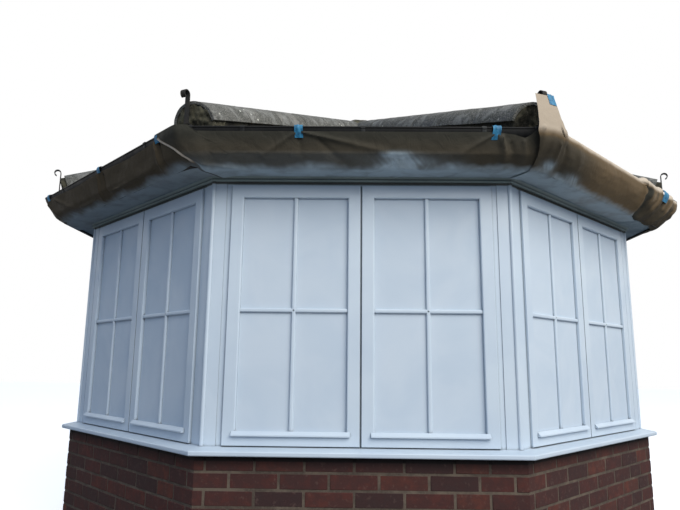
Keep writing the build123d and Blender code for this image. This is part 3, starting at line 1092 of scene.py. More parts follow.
def shell(name: str, radius: float, thick: float, length: float, low: float, facets: int) -> Piece:
    """The upper part of a tube along X, with a wall.

    Args:
        name: The piece's name.
        radius: The outer radius.
        thick: The wall's thickness.
        length: The tube's length.
        low: The height at which the tube is cut off.
        facets: How many flats make up the full circle.

    Returns:
        The shell, centred on the origin.
    """
    Bench.clear()
    bpy.ops.mesh.primitive_cylinder_add(vertices=facets, radius=radius, depth=length, end_fill_type="NOTHING",
                                        rotation=(0, math.pi / 2, 0))
    piece = Bench.settle(name)
    Bench.cut(piece, (0, 0, low), (0, 0, -1), fill=False)
    Bench.finish(piece, "SOLIDIFY", thickness=thick, offset=-1.0)
    Bench.finish(piece, "BEVEL", width=min(thick / 4, 0.0025), segments=2, limit_method="ANGLE",
                 angle_limit=math.radians(50))
    return piece


def roughen(piece: Piece, amount: float, size: float, seed: float) -> None:
    """Push a mesh's points in and out along their normals by a noise.

    Args:
        piece: The mesh object.
        amount: The furthest that a point moves.
        size: The size of the noise's lumps.
        seed: Shifts the noise.
    """
    for vertex in piece.data.vertices:
        spot = vertex.co / size + Vector((seed, seed, seed))
        vertex.co += vertex.normal * amount * noise.noise(spot)


@dataclass
class RoofCovering(Assembly):
    """Plain tiles in courses on a deck, cut along the hips."""

    tile_width: float = 0.165
    tile_gap: float = 0.002
    tile_length: float = 0.115
    tile_thick: float = 0.012
    gauge: float = 0.100
    slab: float = 0.032
    deck: float = 0.016
    deck_back: float = 0.006
    spare: float = 0.1
    headroom: float = 1.2
    arris: float = 0.002

    def unit(self) -> Piece:
        """One tile with its tail's top edge at the origin, running up along +Y."""
        half = (self.tile_width - self.tile_gap) / 2
        tile = Bench.block("tile_unit", (-half, 0.0, -self.tile_thick), (half, self.tile_length, 0.0))

        def is_worn(middle: Vector, way: Vector) -> bool:
            """Whether an edge is open to the weather, off the head and the under side."""
            return middle.y < self.tile_length * 0.9 and middle.z > -self.tile_thick
        return Bench.bevel(tile, is_worn, offset=self.arris, segments=1)

    def places(self, side: Side, chance: random.Random) -> Iterable[Place]:
        """Every tile of one slope, from the eave up, in half bond."""
        tilt = math.atan(self.tile_thick / self.gauge)
        rise = (PLAN.inradius + PLAN.eave_out) / math.cos(PLAN.pitch)
        for course in range(int(rise / self.gauge) + 1):
            run = course * self.gauge
            out = PLAN.eave_out - run * math.cos(PLAN.pitch)
            low, high = side.span(out)
            first = math.floor(low / self.tile_width) * self.tile_width + (course % 2) * self.tile_width / 2
            count = int((high - first) / self.tile_width) + 2
            for index in range(-1, count):
                x = first + index * self.tile_width
                if low - self.tile_width < x < high + self.tile_width:
                    spot = Vector((x, -PLAN.inradius - out, PLAN.roof(out) - chance.uniform(0.0, 0.0015)))
                    turn = Matrix.Rotation(PLAN.pitch - tilt + chance.uniform(-0.004, 0.004), 4, "X")
                    sway = Matrix.Rotation(chance.uniform(-0.006, 0.006), 4, "Z")
                    yield Place(Matrix.Translation(spot) @ turn @ sway, tone=chance.random())

    def boards(self, side: Side) -> Piece:
        """The deck under the tiles of one slope."""
        low, high = side.span(PLAN.eave_out)
        edge = -PLAN.inradius - PLAN.eave_out
        deck = Bench.block("deck_" + side.label, (low - self.spare, edge + self.deck_back, PLAN.soffit),
                           (high + self.spare, 0.0, PLAN.soffit + self.headroom))
        slope = Vector((0, -math.sin(PLAN.pitch), math.cos(PLAN.pitch)))
        under = PLAN.roof(PLAN.eave_out) - self.slab
        Bench.cut(deck, (0, edge, under + self.deck), slope)
        Bench.cut(deck, (0, edge, under), -slope)
        return trim_to(side, deck)

    def build(self) -> None:
        """Tile the five slopes."""
        unit = self.unit()
        for order, side in enumerate(Side):
            tiles = lay("tiles_" + side.label, unit, list(self.places(side, random.Random(70 + order))))
            Bench.cut(tiles, (0, 0, 0), (0, 1, 0))
            trim_to(side, tiles)
            self.keep(tiles, self.finishes.tile, "roof_tiles", "roof_" + side.label)
            self.keep(self.boards(side), self.finishes.timber, "roof_tiles", "roof_" + side.label)
        Bench.drop(unit)


@dataclass
class CapCourse(Assembly):
    """Third-round cap tiles bedded in mortar along the hips and the ridge."""

    width: float = 0.236
    rise: float = 0.104
    bed: float = 0.026
    wall: float = 0.014
    length: float = 0.330
    joint: float = 0.005
    foot: float = 0.058
    stop: float = 0.16
    recess: float = 0.004
    proud: float = 0.028
    skirt: float = 0.060
    plug: float = 0.110
    foot_gap: float = 0.1
    # Tones for the bedding's painted shade: low ones darken the beds under the caps and the shaded cap ends.
    bed_shade_tones: tuple[float, float] = (0.0, 0.12)
    end_shade_tones: tuple[float, ...] = (0.25, 1.0, 0.35, 0.25)

    @property
    def radius(self) -> float:
        """The caps' outer radius."""
        return (self.width ** 2 / 4 + self.rise ** 2) / (2 * self.rise)

    @property
    def lift(self) -> float:
        """From the roof's arris up to the middle of the caps' circle."""
        return self.rise + self.bed - self.radius

    def cap(self) -> Piece:
        """One cap tile along X, slightly uneven."""
        cap = shell("cap_unit", self.radius, self.wall, self.length - self.joint, self.radius - self.rise, 44)
        Bench.pick(cap, lies_along)
        bpy.ops.mesh.subdivide(number_cuts=5)
        Bench.down()
        roughen(cap, 0.0022, 0.05, 3.0)
        Bench.smooth(cap, 45.0)
        return cap

    def filling(self, name: str, length: float, voxel: float, ragged: float) -> Piece:
        """The mortar inside a cap, with its bed below.

        Args:
            name: The piece's name.
            length: Its length.
            voxel: How finely it is broken up.
            ragged: How rough its faces are.

        Returns:
            The mortar along X.
        """
        Bench.clear()
        bpy.ops.mesh.primitive_cylinder_add(vertices=32, radius=self.radius - self.wall - 0.001, depth=length,
                                            rotation=(0, math.pi / 2, 0))
        core = Bench.settle(name)
        Bench.cut(core, (0, 0, -self.skirt), (0, 0, -1))
        Bench.finish(core, "REMESH", mode="VOXEL", voxel_size=voxel)
        roughen(core, ragged, 0.025, 7.0)
        Bench.smooth(core, 60.0)
        return core

    def rail(self, heading: Vector, start: Vector, length: float,
             order: int) -> tuple[list[Place], list[Place]]:
        """The caps along one line of the roof.

        Args:
            heading: The line's direction, from its foot up or along the ridge.
            start: Its first point on the roof's arris.
            length: How far the caps run.
            order: Picks the tones, darker on the right-hand hips.

        Returns:
            Places for the caps and for their mortar.
        """
        chance = random.Random(900 + order)
        tones = (0.0, 0.3) if order in (2, 3) else (0.45, 0.9)
        side_way = Vector((0, 0, 1)).cross(heading).normalized()
        up = heading.cross(side_way)
        count = max(1, round(length / self.length))
        step = length / count
        caps, beds = [], []
        for index in range(count):
            middle = start + heading * (step * (index + 0.5)) + up * self.lift
            turn = Matrix((heading, side_way, up)).transposed().to_4x4()
            wobble = Matrix.Rotation(chance.uniform(-0.008, 0.008), 4, "Y")
            slack = (self.length - step) / 2
            spot = Matrix.Translation(middle) @ turn
            caps.append(Place(spot @ wobble, slack, slack, chance.uniform(*tones)))
            trim = slack + (self.foot_gap if index == 0 else 0)
            beds.append(Place(spot, trim, slack, chance.uniform(*self.bed_shade_tones)))
        return caps, beds

    def hip(self, angle: float) -> tuple[Vector, Vector, float]:
        """The heading, the foot and the length of one hip's caps."""
        outward = Vector((math.sin(angle), -math.cos(angle), 0))
        slope = math.atan(math.tan(PLAN.pitch) * math.cos(PLAN.half))
        out = PLAN.eave_out - self.foot
        reach = (PLAN.inradius + out) / math.cos(PLAN.half)
        heading = -outward * math.cos(slope) + Vector((0, 0, math.sin(slope)))
        return heading, outward * reach + Vector((0, 0, PLAN.roof(out))), reach / math.cos(slope) - self.stop

    def build(self) -> None:
        """Bed the caps on the four hips and the ridge."""
        cap = self.cap()
        core = self.filling("mortar_unit", self.length, 0.016, 0.004)
        plug = self.filling("mortar_plug", self.plug, 0.006, 0.009)
        caps, beds, plugs = [], [], []
        for order, turn in enumerate((-3, -1, 1, 3)):
            heading, foot, length = self.hip(turn * PLAN.half)
            on_hip, under_hip = self.rail(heading, foot, length, order)
            caps += on_hip
            beds += under_hip
            recess = self.recess if order in (1, 2) else -self.proud
            inward = recess + self.plug / 2 - length / len(on_hip) / 2
            plugs.append(Place(on_hip[0].at @ Matrix.Translation((inward, 0, 0)), tone=self.end_shade_tones[order]))
        top = Vector((0, 0, PLAN.roof(-PLAN.inradius)))
        on_ridge, under_ridge = self.rail(Vector((0, 1, 0)), top + Vector((0, self.stop * 0.4, 0)),
                                          PLAN.back - self.stop * 0.4 - 0.001, 9)
        ridge_and_hips = lay("cap_tiles", cap, caps + on_ridge)
        Bench.smooth(ridge_and_hips, 45.0)
        self.keep(ridge_and_hips, self.finishes.cap, "cap_tiles", "hip_and_ridge_caps")
        mortar = lay("cap_mortar", core, beds + under_ridge)
        ends = lay("cap_mortar_ends", plug, plugs)
        knob = self.saddle(top)
        for piece in (mortar, ends, knob):
            Bench.smooth(piece, 60.0)
            self.keep(piece, self.finishes.bedding, "cap_tiles", "hip_and_ridge_caps")
        Bench.drop(cap, core, plug)

    def saddle(self, top: Vector) -> Piece:
        """The mortar that joins the caps where the hips and the ridge meet."""
        Bench.clear()
        bpy.ops.mesh.primitive_uv_sphere_add(segments=40, ring_count=24, radius=0.21, location=top,
                                             scale=(1.0, 1.0, 0.62))
        unit = Bench.settle("saddle_unit")
        roughen(unit, 0.012, 0.06, 2.0)
        knob = lay("cap_mortar_saddle", unit, [Place(Matrix.Identity(4), tone=0.8)])
        Bench.drop(unit)
        return knob


@dataclass
class Rainwater(Assembly):
    """The gutters with their angle collars and brackets."""

    sleeve: float = 0.055
    clear: float = 0.0006
    wall: float = 0.0016
    bead: float = 0.0145
    clip: float = 0.032
    strap: float = 0.020
    spots: tuple[float, ...] = (-0.55, 0.0, 0.55)
    return_spots: tuple[float, ...] = (-0.40, 0.20, 0.80, 1.40)

    def half_ring(self, name: str, length: float) -> Piece:
        """A half ring that hugs the gutter from below, along X at the origin."""
        ring = shell(name, PLAN.gutter_radius + self.clear + self.wall, self.wall, length, 0.0, 48)
        ring.data.transform(Matrix.Rotation(math.pi, 4, "X"))
        return ring

    def collar(self, x: float, length: float, name: str) -> Piece:
        """A half ring with a clip over the gutter's bead, on the front gutter."""
        ring = self.half_ring(name, length)
        ring.data.transform(Matrix.Translation((x, -PLAN.inradius - PLAN.gutter_mid, PLAN.gutter_top)))
        edge = -PLAN.inradius - PLAN.gutter_mid - PLAN.gutter_radius + 0.0015
        half = self.bead / 2
        clip = Bench.block(name + "_clip", (x - length / 2, edge - half, PLAN.gutter_top - half),
                           (x + length / 2, edge + half, PLAN.gutter_top + half))
        Bench.bevel(clip, lies_along, offset=0.004, segments=3)
        return Bench.join(name, [ring, clip])

    def build(self) -> None:
        """Dress the gutters and fit collars and brackets."""
        self.dress(self.finishes.gutter, *("gutter_" + side.label for side in Side))
        for side in Side:
            reach = PLAN.corner(PLAN.gutter_mid)
            made = []
            if side is not Side.LEFT_RETURN:
                made.append(self.collar(-reach, 2 * self.sleeve, "collar_left_" + side.label))
            if side is not Side.RIGHT_RETURN:
                made.append(self.collar(reach, 2 * self.sleeve, "collar_right_" + side.label))
            spots = self.return_spots if side.is_return else self.spots
            sign = -1.0 if side is Side.LEFT_RETURN else 1.0
            made += [self.collar(sign * x, self.strap, "bracket") for x in spots]
            fitted = Bench.join("gutter_fittings_" + side.label, made)
            trim_to(side, fitted)
            Bench.smooth(fitted, 40.0)
            self.keep(fitted, self.finishes.collar, "gutter")


# Masking paper


@dataclass(frozen=True)
class Profile:
    """A section that paper follows, as (out, height) points, from its run at the first one."""

    points: tuple[tuple[float, float], ...]
    start: float
    soft: float = 0.007

    def at(self, run: np.ndarray) -> Pair:
        """Distance out and height at runs down the sheet, with the corners eased."""
        outs, heights = np.array(self.points).T
        runs = self.start + np.concatenate(([0.0], np.cumsum(np.hypot(np.diff(outs), np.diff(heights)))))
        taps = [run + self.soft * step for step in (-1.0, -0.5, 0.0, 0.5, 1.0)]
        return (np.mean([np.interp(tap, runs, outs) for tap in taps], axis=0),
                np.mean([np.interp(tap, runs, heights) for tap in taps], axis=0))


EAVES = PLAN.gutter_top
UNDER = PLAN.soffit - 0.0115
INWARD = ((0.2506, PLAN.soffit + 0.038), (0.181, UNDER), (0.160, UNDER), (0.038, PLAN.soffit - 0.002))
TUCKED = Profile(((0.2935, EAVES + 0.010), (0.2925, EAVES - 0.005), (0.2915, EAVES - 0.020), *INWARD), -0.030)
ROLLED = Profile(((0.240, EAVES + 0.0078), (0.284, EAVES + 0.0085), (0.2975, EAVES + 0.0045),
                  (0.2998, EAVES - 0.006), (0.3000, EAVES - 0.026), (0.2930, EAVES - 0.056),
                  (0.2760, EAVES - 0.084), *INWARD), -0.0825)
TAPED = Profile(((0.262, EAVES + 0.006), (0.284, EAVES + 0.0085), (0.2985, EAVES + 0.004),
                 (0.2995, EAVES - 0.006), (0.2940, EAVES - 0.020), (0.2700, EAVES - 0.068)), -0.062, 0.004)
AROUND = 2.07
HIP = PLAN.half * AROUND


def smooth(value: np.ndarray, low: float, high: float) -> np.ndarray:
    """0 at low, 1 at high and an even curve between."""
    share = np.clip((value - low) / (high - low), 0.0, 1.0)
    return share * share * (3.0 - 2.0 * share)


def ripple(along: np.ndarray, run: np.ndarray, size: float, seed: float, stretch: float = 1.0) -> np.ndarray:
    """Noise over a sheet, from -1 to 1.

    Args:
        along: Distances along the eaves.
        run: Distances down the sheet.
        size: The size of the noise's lumps.
        seed: Picks the noise.
        stretch: How much longer the lumps are down the sheet than along it.

    Returns:
        The noise's values.
    """
    return np.array([noise.noise(Vector((a / size, r / size / stretch, seed))) for a, r in zip(along, run)])


class Mark:
    """Something on a sheet that is listed by the side it is on."""

    @classmethod
    def rows(cls, side: Side, *rows: tuple[Any, ...]) -> tuple[Any, ...]:
        """The marks of one side, each from a row of its other values."""
        return tuple(cls(side, *row) for row in rows)


@dataclass(frozen=True)
class Crease(Mark):
    """A fold along a straight line of the sheet, by x on a face and the run down the sheet."""

    side: Side
    start: tuple[float, float]
    end: tuple[float, float]
    width: float
    height: float
    edge: float = 1.6

    def swell(self, along: np.ndarray, run: np.ndarray) -> np.ndarray:
        """How far the fold lifts each point."""
        x0, x1 = (self.side.bearing(x) * AROUND for x in (self.start[0], self.end[0]))
        way = np.array((x1 - x0, self.end[1] - self.start[1]))
        share = np.clip(((along - x0) * way[0] + (run - self.start[1]) * way[1]) / (way @ way), 0.0, 1.0)
        apart = np.hypot(along - x0 - share * way[0], run - self.start[1] - share * way[1])
        width = self.width * (0.5 + 0.9 * share)
        return self.height * (1.0 - 0.35 * share) * np.exp(-(apart / width) ** self.edge)


@dataclass(frozen=True)
class Burst(Mark):
    """A patch of overspray, by its middle, its half sizes and how thick it is."""

    side: Side
    at: tuple[float, float]
    size: tuple[float, float]
    strength: float

    def cover(self, along: np.ndarray, run: np.ndarray) -> np.ndarray:
        """How thickly the patch covers each point."""
        across = (along - self.side.bearing(self.at[0]) * AROUND) / self.size[0]
        down = (run - self.at[1]) / self.size[1]
        return self.strength * np.exp(-(across ** 2 + down ** 2))


@dataclass
class Sheet:
    """One sheet of paper over the eaves, as a fine grid that is moved into its folds."""

    name: str
    profile: Profile
    ends: tuple[tuple[Side, float], tuple[Side, float]]
    runs: tuple[float, float]
    creases: tuple[Crease, ...] = ()
    bursts: tuple[Burst, ...] = ()
    rests_on: tuple[str, ...] = ()
    lift: float = 0.0
    spray_from: float = 0.155
    spray: float = 0.75
    mist: float = 0.0
    # Paleness of the paper at its top and at its foot: painted light and shade.
    painted_light: tuple[float, float] = (0.0, 0.0)
    crumple: float = 0.0012
    billow: float = 0.0035
    crisp: float = 400.0
    slack: float = 110.0
    grain: float = 0.0065
    seed: float = 1.0
    thick: float = 0.0008
    # A painted highlight along the upper rim.
    rim: float = 0.0
    stride: float = 0.002

    def bounds(self, run: np.ndarray) -> Pair:
        """The bearings of the sheet's ends at some runs."""
        return tuple(np.full_like(run, side.bearing(x)) for side, x in self.ends)

    def hem(self, along: np.ndarray) -> Pair:
        """The runs of the upper and the inner edge at some distances along."""
        return np.full_like(along, self.runs[0]), np.full_like(along, self.runs[1])

    def reach(self, bearing: np.ndarray, out: np.ndarray, run: np.ndarray) -> np.ndarray:
        """Distance from the plan's centre, with the corners eased lower down."""
        power = self.crisp + (self.slack - self.crisp) * smooth(run, 0.0, 0.10)
        total = np.zeros_like(bearing)
        for side in Side:
            share = np.cos(bearing - math.radians(side.value)) / (PLAN.inradius + out)
            total += np.maximum(share * 2.0, 1e-3) ** power
        return 2.0 * total ** (-1.0 / power)

    def place(self, bearing: np.ndarray, run: np.ndarray) -> Pair:
        """Distance from the centre and height, before the folds."""
        out, height = self.profile.at(run)
        return self.reach(bearing, out, run), height

    def folds(self, along: np.ndarray, run: np.ndarray) -> np.ndarray:
        """How far the folds and crumples lift each point off the section."""
        lifted = np.full_like(along, self.lift)
        for crease in self.creases:
            lifted += crease.swell(along, run)
        free = smooth(run, 0.0, 0.06) * (1.0 - 0.7 * smooth(run, 0.16, 0.20))
        lifted += self.billow * free * ripple(along, run, 0.16, self.seed, 0.7)
        lifted += self.crumple * ripple(along, run, 0.028, self.seed + 5.0) * (0.4 + 0.6 * free)
        return lifted

    def tones(self, along: np.ndarray, run: np.ndarray) -> Pair:
        """How thick the overspray is and how pale the paper is at each point, the paleness being painted
        light and shade.
        """
        drift = 0.022 * ripple(along, run, 0.11, self.seed + 11.0)
        drift += 0.008 * ripple(along, run, 0.03, self.seed + 3.0)
        spray = self.spray * smooth(run + drift, self.spray_from - 0.022, self.spray_from + 0.030)
        spray += self.mist * smooth(run, 0.080, 0.110) * (1.0 - smooth(along, 0.30, 0.55))
        for burst in self.bursts:
            streaks = 0.75 + 0.5 * ripple(along - run * 0.8, run, 0.016, self.seed + 21.0, 4.0)
            spray += burst.cover(along, run) * streaks
        # Painted light and shade down the sheet, and a painted highlight along the upper rim.
        light_and_fibres = self.painted_light[0] + (self.painted_light[1] - self.painted_light[0]) * smooth(run, -0.01, 0.11)
        light_and_fibres += self.rim * (1.0 - smooth(run + drift * 0.3, -0.018, 0.005))
        return np.clip(spray, 0.0, 1.0), light_and_fibres

    def make(self) -> Piece:
        """Returns:
            The finished sheet.
        """
        low, high = (side.bearing(x) * AROUND for side, x in self.ends)
        length = self.runs[1] - self.runs[0]
        columns, rows = max(6, round((high - low) / self.grain)), max(6, round(length / self.grain))
        Bench.clear()
        bpy.ops.mesh.primitive_grid_add(x_subdivisions=columns, y_subdivisions=rows, size=1.0)
        piece = Bench.settle(self.name)
        flat = np.empty(len(piece.data.vertices) * 3)
        piece.data.vertices.foreach_get("co", flat)
        across, down = flat.reshape(-1, 3)[:, 0] + 0.5, 0.5 - flat.reshape(-1, 3)[:, 1]
        top, bottom = self.hem(low + across * (high - low))
        run = top + down * (bottom - top)
        left, right = self.bounds(run)
        bearing = left + across * (right - left)
        along = bearing * AROUND
        radius, height = self.place(bearing, run)
        ahead, behind = self.place(bearing, run + self.stride), self.place(bearing, run - self.stride)
        way = np.array((ahead[0] - behind[0], ahead[1] - behind[1]))
        way /= np.maximum(np.hypot(*way), 1e-9)
        lifted = self.folds(along, run)
        radius, height = radius - way[1] * lifted, height + way[0] * lifted
        points = np.stack((radius * np.sin(bearing), -radius * np.cos(bearing), height), axis=1)
        piece.data.vertices.foreach_set("co", points.ravel())
        for label, values in zip(("spray", "light_and_fibres"), self.tones(along, run)):
            layer = piece.data.attributes.new(label, "FLOAT", "POINT")
            layer.data.foreach_set("value", values)
        piece.data.update()
        area = sum(face.area for face in piece.data.polygons)
        Bench.finish(piece, "SOLIDIFY", thickness=self.thick, offset=-1.0)
        Bench.smooth(piece, 60.0)
        cut = (max(high - low, area / length * 1.001), length)
        list(self.rests_on)
        LOG.info("%s: cut %.3f by %.3f m, %.3f square metres", self.name, *cut, area)
        return piece


@dataclass
class FrontSheet(Sheet):
    """The front sheet, which laps round the left-hand corner with a torn end."""

    over: float = 0.009
    cover: float = 0.028
    torn: tuple[tuple[float, float], ...] = (
        (-0.030, -0.165), (0.005, -0.135), (0.070, -0.040), (0.120, 0.015), (0.160, 0.040), (0.260, 0.055))
    mouth: tuple[tuple[float, float], ...] = (
        (-0.230, 0.000), (-0.150, 0.010), (-0.105, 0.025), (-0.080, 0.010), (-0.065, -0.010))

    def folds(self, along: np.ndarray, run: np.ndarray) -> np.ndarray:
        """The lapped end stands off the sheet below it, and the other end lies flat."""
        calm = smooth(HIP - along, 0.02, 0.12)
        lapped = 1.0 - smooth(along + HIP, 0.07, 0.13)
        return self.lift + (super().folds(along, run) - self.lift) * calm + self.over * lapped

    def bounds(self, run: np.ndarray) -> Pair:
        """The torn left end slants down towards the corner."""
        left, right = super().bounds(run)
        torn = np.interp(run, *zip(*self.torn)) - HIP
        jag = 0.003 * ripple(run * 0, run, 0.012, 4.0) + 0.003 * ripple(run * 0, run, 0.05, 9.0)
        return (torn + jag) / AROUND, right

    def hem(self, along: np.ndarray) -> Pair:
        """The upper edge covers the gutter at the left corner and droops in a mouth before the right one."""
        _, bottom = super().hem(along)
        top = np.interp(along - HIP, *zip(*self.mouth))
        return top - self.cover * (1.0 - smooth(along + HIP, 0.076, 0.086)), bottom

    def tones(self, along: np.ndarray, run: np.ndarray) -> Pair:
        """The torn end shows pale fibres."""
        spray, light_and_fibres = super().tones(along, run)
        left, _ = self.bounds(run)
        near = 1.0 - smooth(along - left * AROUND, 0.011, 0.018)
        return spray * (1.0 - 0.8 * near), light_and_fibres + near * (1.0 - smooth(run, 0.12, 0.15)) * (run > -0.006)


@dataclass
class LeftSheet(Sheet):
    """The left sheet, whose upper edge hangs in shallow swags between its tapes."""

    swag: float = 0.010
    tape_gap: float = 0.70

    def hem(self, along: np.ndarray) -> Pair:
        """The upper edge droops between the tapes."""
        top, bottom = super().hem(along)
        phase = (along - Side.LEFT_FRONT.bearing(0.0) * AROUND) / self.tape_gap * math.pi
        return top + self.swag * np.sin(phase) ** 2, bottom


@dataclass
class RightSheet(Sheet):
    """The right sheet, rolled over the gutter, with a flap that leans up on the hip iron."""

    flap_right: float = 0.045
    bead_top: float = 0.010
    lean: float = 0.0380
    climb: float = 0.173
    bow: float = 0.004
    # How pale the flap is: painted light, on a flap that takes no overspray.
    clean_and_lit: float = 0.61
    off: float = 0.005
    # Painted shade on the paper below the flap, near the hip.
    shade: float = 0.11
    stride: float = 0.012
    top_edge: tuple[tuple[float, float], ...] = (
        (0.000, -0.190), (0.040, -0.160), (0.045, -0.145), (0.060, -0.065), (0.115, -0.065))
    left_edge: tuple[tuple[float, float], ...] = (
        (-0.200, -0.060), (0.000, -0.080), (0.025, -0.065), (0.060, -0.055), (0.160, -0.030))
    right_edge: tuple[tuple[float, float], ...] = (
        (-0.070, 0.150), (-0.015, 0.190), (0.010, 0.320), (0.100, 0.335), (0.195, 0.395), (0.225, 0.540))

    def bounds(self, run: np.ndarray) -> Pair:
        """The left end runs up beside the hip and the right end is torn aslant."""
        left = HIP + np.interp(run, *zip(*self.left_edge))
        torn = np.interp(run, *zip(*self.right_edge)) + 0.008 * ripple(run * 0, run, 0.03, 8.0)
        right = math.radians(Side.RIGHT_FRONT.value) + np.arctan2(torn, PLAN.wrap_radius)
        return left / AROUND, right

    def hem(self, along: np.ndarray) -> Pair:
        """The upper edge is the flap's top at the corner and the rolled rim beyond."""
        top = np.interp(along - HIP, *zip(*self.top_edge))
        wander = 0.006 * ripple(along, along * 0, 0.09, 2.0) * (along - HIP > self.top_edge[-1][0])
        return top + wander, np.full_like(along, self.runs[1])

    def folds(self, along: np.ndarray, run: np.ndarray) -> np.ndarray:
        """The left end lies over the front sheet."""
        return super().folds(along, run) + self.off * (1.0 - smooth(along - HIP, -0.01, 0.05))

    def place(self, bearing: np.ndarray, run: np.ndarray) -> Pair:
        """The flap bridges the corner in one plane and leans back on the iron."""
        radius, height = super().place(bearing, run)
        out, low = self.profile.at(np.maximum(run, -self.bead_top))
        step = np.maximum(-run - self.bead_top, 0.0) / math.hypot(self.climb, self.lean)
        apart = (PLAN.inradius + out) / math.cos(PLAN.half) - self.lean * step + self.bow * np.sin(
            np.clip(step, 0, 1) * math.pi)
        flat = apart / np.cos(bearing - PLAN.half)
        across = bearing * AROUND - HIP
        near = 1.0 - smooth(across, self.flap_right, self.flap_right + 0.090)
        share = near * (1.0 - smooth(run, -0.030, 0.075))
        upward = (1.0 - smooth(across, self.flap_right + 0.018, self.flap_right + 0.032)) * (run < 0)
        return radius + (flat - radius) * share, height + (low + self.climb * step - height) * upward

    def tones(self, along: np.ndarray, run: np.ndarray) -> Pair:
        """The flap stays clean of overspray and takes painted light, and the paper below it takes painted
        shade.
        """
        spray, light_and_fibres = super().tones(along, run)
        # Painted shade below the flap, near the hip.
        light_and_fibres -= self.shade * smooth(run, -0.005, 0.030) * (1.0 - smooth(along - HIP, 0.20, 0.60))
        # The flap takes no overspray and is painted light.
        clean_and_lit = (1.0 - smooth(run, -0.035, 0.030)) * (1.0 - smooth(along - HIP, 0.085, 0.110))
        return spray * (1.0 - clean_and_lit), light_and_fibres + (self.clean_and_lit - light_and_fibres) * clean_and_lit


@dataclass
class WrapSheet(Sheet):
    """The bunched sheet round a back corner, with a ragged inner edge."""

    ragged: float = 0.022
    worn: float = 0.4

    def hem(self, along: np.ndarray) -> Pair:
        """The inner edge is torn."""
        top, bottom = super().hem(along)
        tear = self.ragged * ripple(along, along * 0, 0.035, self.seed)
        tear += 0.006 * ripple(along, along * 0, 0.009, 6.0)
        return top, bottom + tear

    @staticmethod
    def beyond(along: np.ndarray, run: np.ndarray) -> np.ndarray:
        """How far each point is past the end of the right sheet, which lies over this one."""
        torn = np.arctan2(np.interp(run, *zip(*RightSheet.right_edge)), PLAN.wrap_radius)
        return along - (math.radians(Side.RIGHT_FRONT.value) + torn) * AROUND

    def folds(self, along: np.ndarray, run: np.ndarray) -> np.ndarray:
        """Flat under the right sheet and bunched past its end."""
        free = smooth(self.beyond(along, run), -0.02, 0.04)
        return self.lift + (super().folds(along, run) - self.lift) * free

    def tones(self, along: np.ndarray, run: np.ndarray) -> Pair:
        """Pale where the paper is creased, and a painted shadow in the gap by the right sheet's end."""
        spray, light_and_fibres = super().tones(along, run)
        worn = np.maximum(ripple(along, run, 0.045, self.seed + 9.0, 2.0), 0.0)
        light_and_fibres += self.worn * worn * (1.0 - smooth(run, 0.06, 0.16))
        # Painted shadow in the gap beside the right sheet's end.
        gap = smooth(run, -0.012, 0.004) * (1.0 - smooth(self.beyond(along, run), 0.02, 0.09))
        return spray, light_and_fibres * (1.0 - gap)


@dataclass
class TapePiece(Sheet):
    """A short crumpled piece of tape over the gutter's bead."""

    def tones(self, along: np.ndarray, run: np.ndarray) -> Pair:
        """A little overspray at the foot."""
        return 0.25 * smooth(run, 0.02, 0.06), np.zeros_like(run)


@dataclass
class FlapTape(RightSheet):
    """Tape that lies on the flap and follows its plane."""

    def bounds(self, run: np.ndarray) -> Pair:
        """Straight ends."""
        return Sheet.bounds(self, run)

    def hem(self, along: np.ndarray) -> Pair:
        """Straight edges."""
        return Sheet.hem(self, along)

    def tones(self, along: np.ndarray, run: np.ndarray) -> Pair:
        """Clean tape."""
        return np.zeros_like(run), np.zeros_like(run)


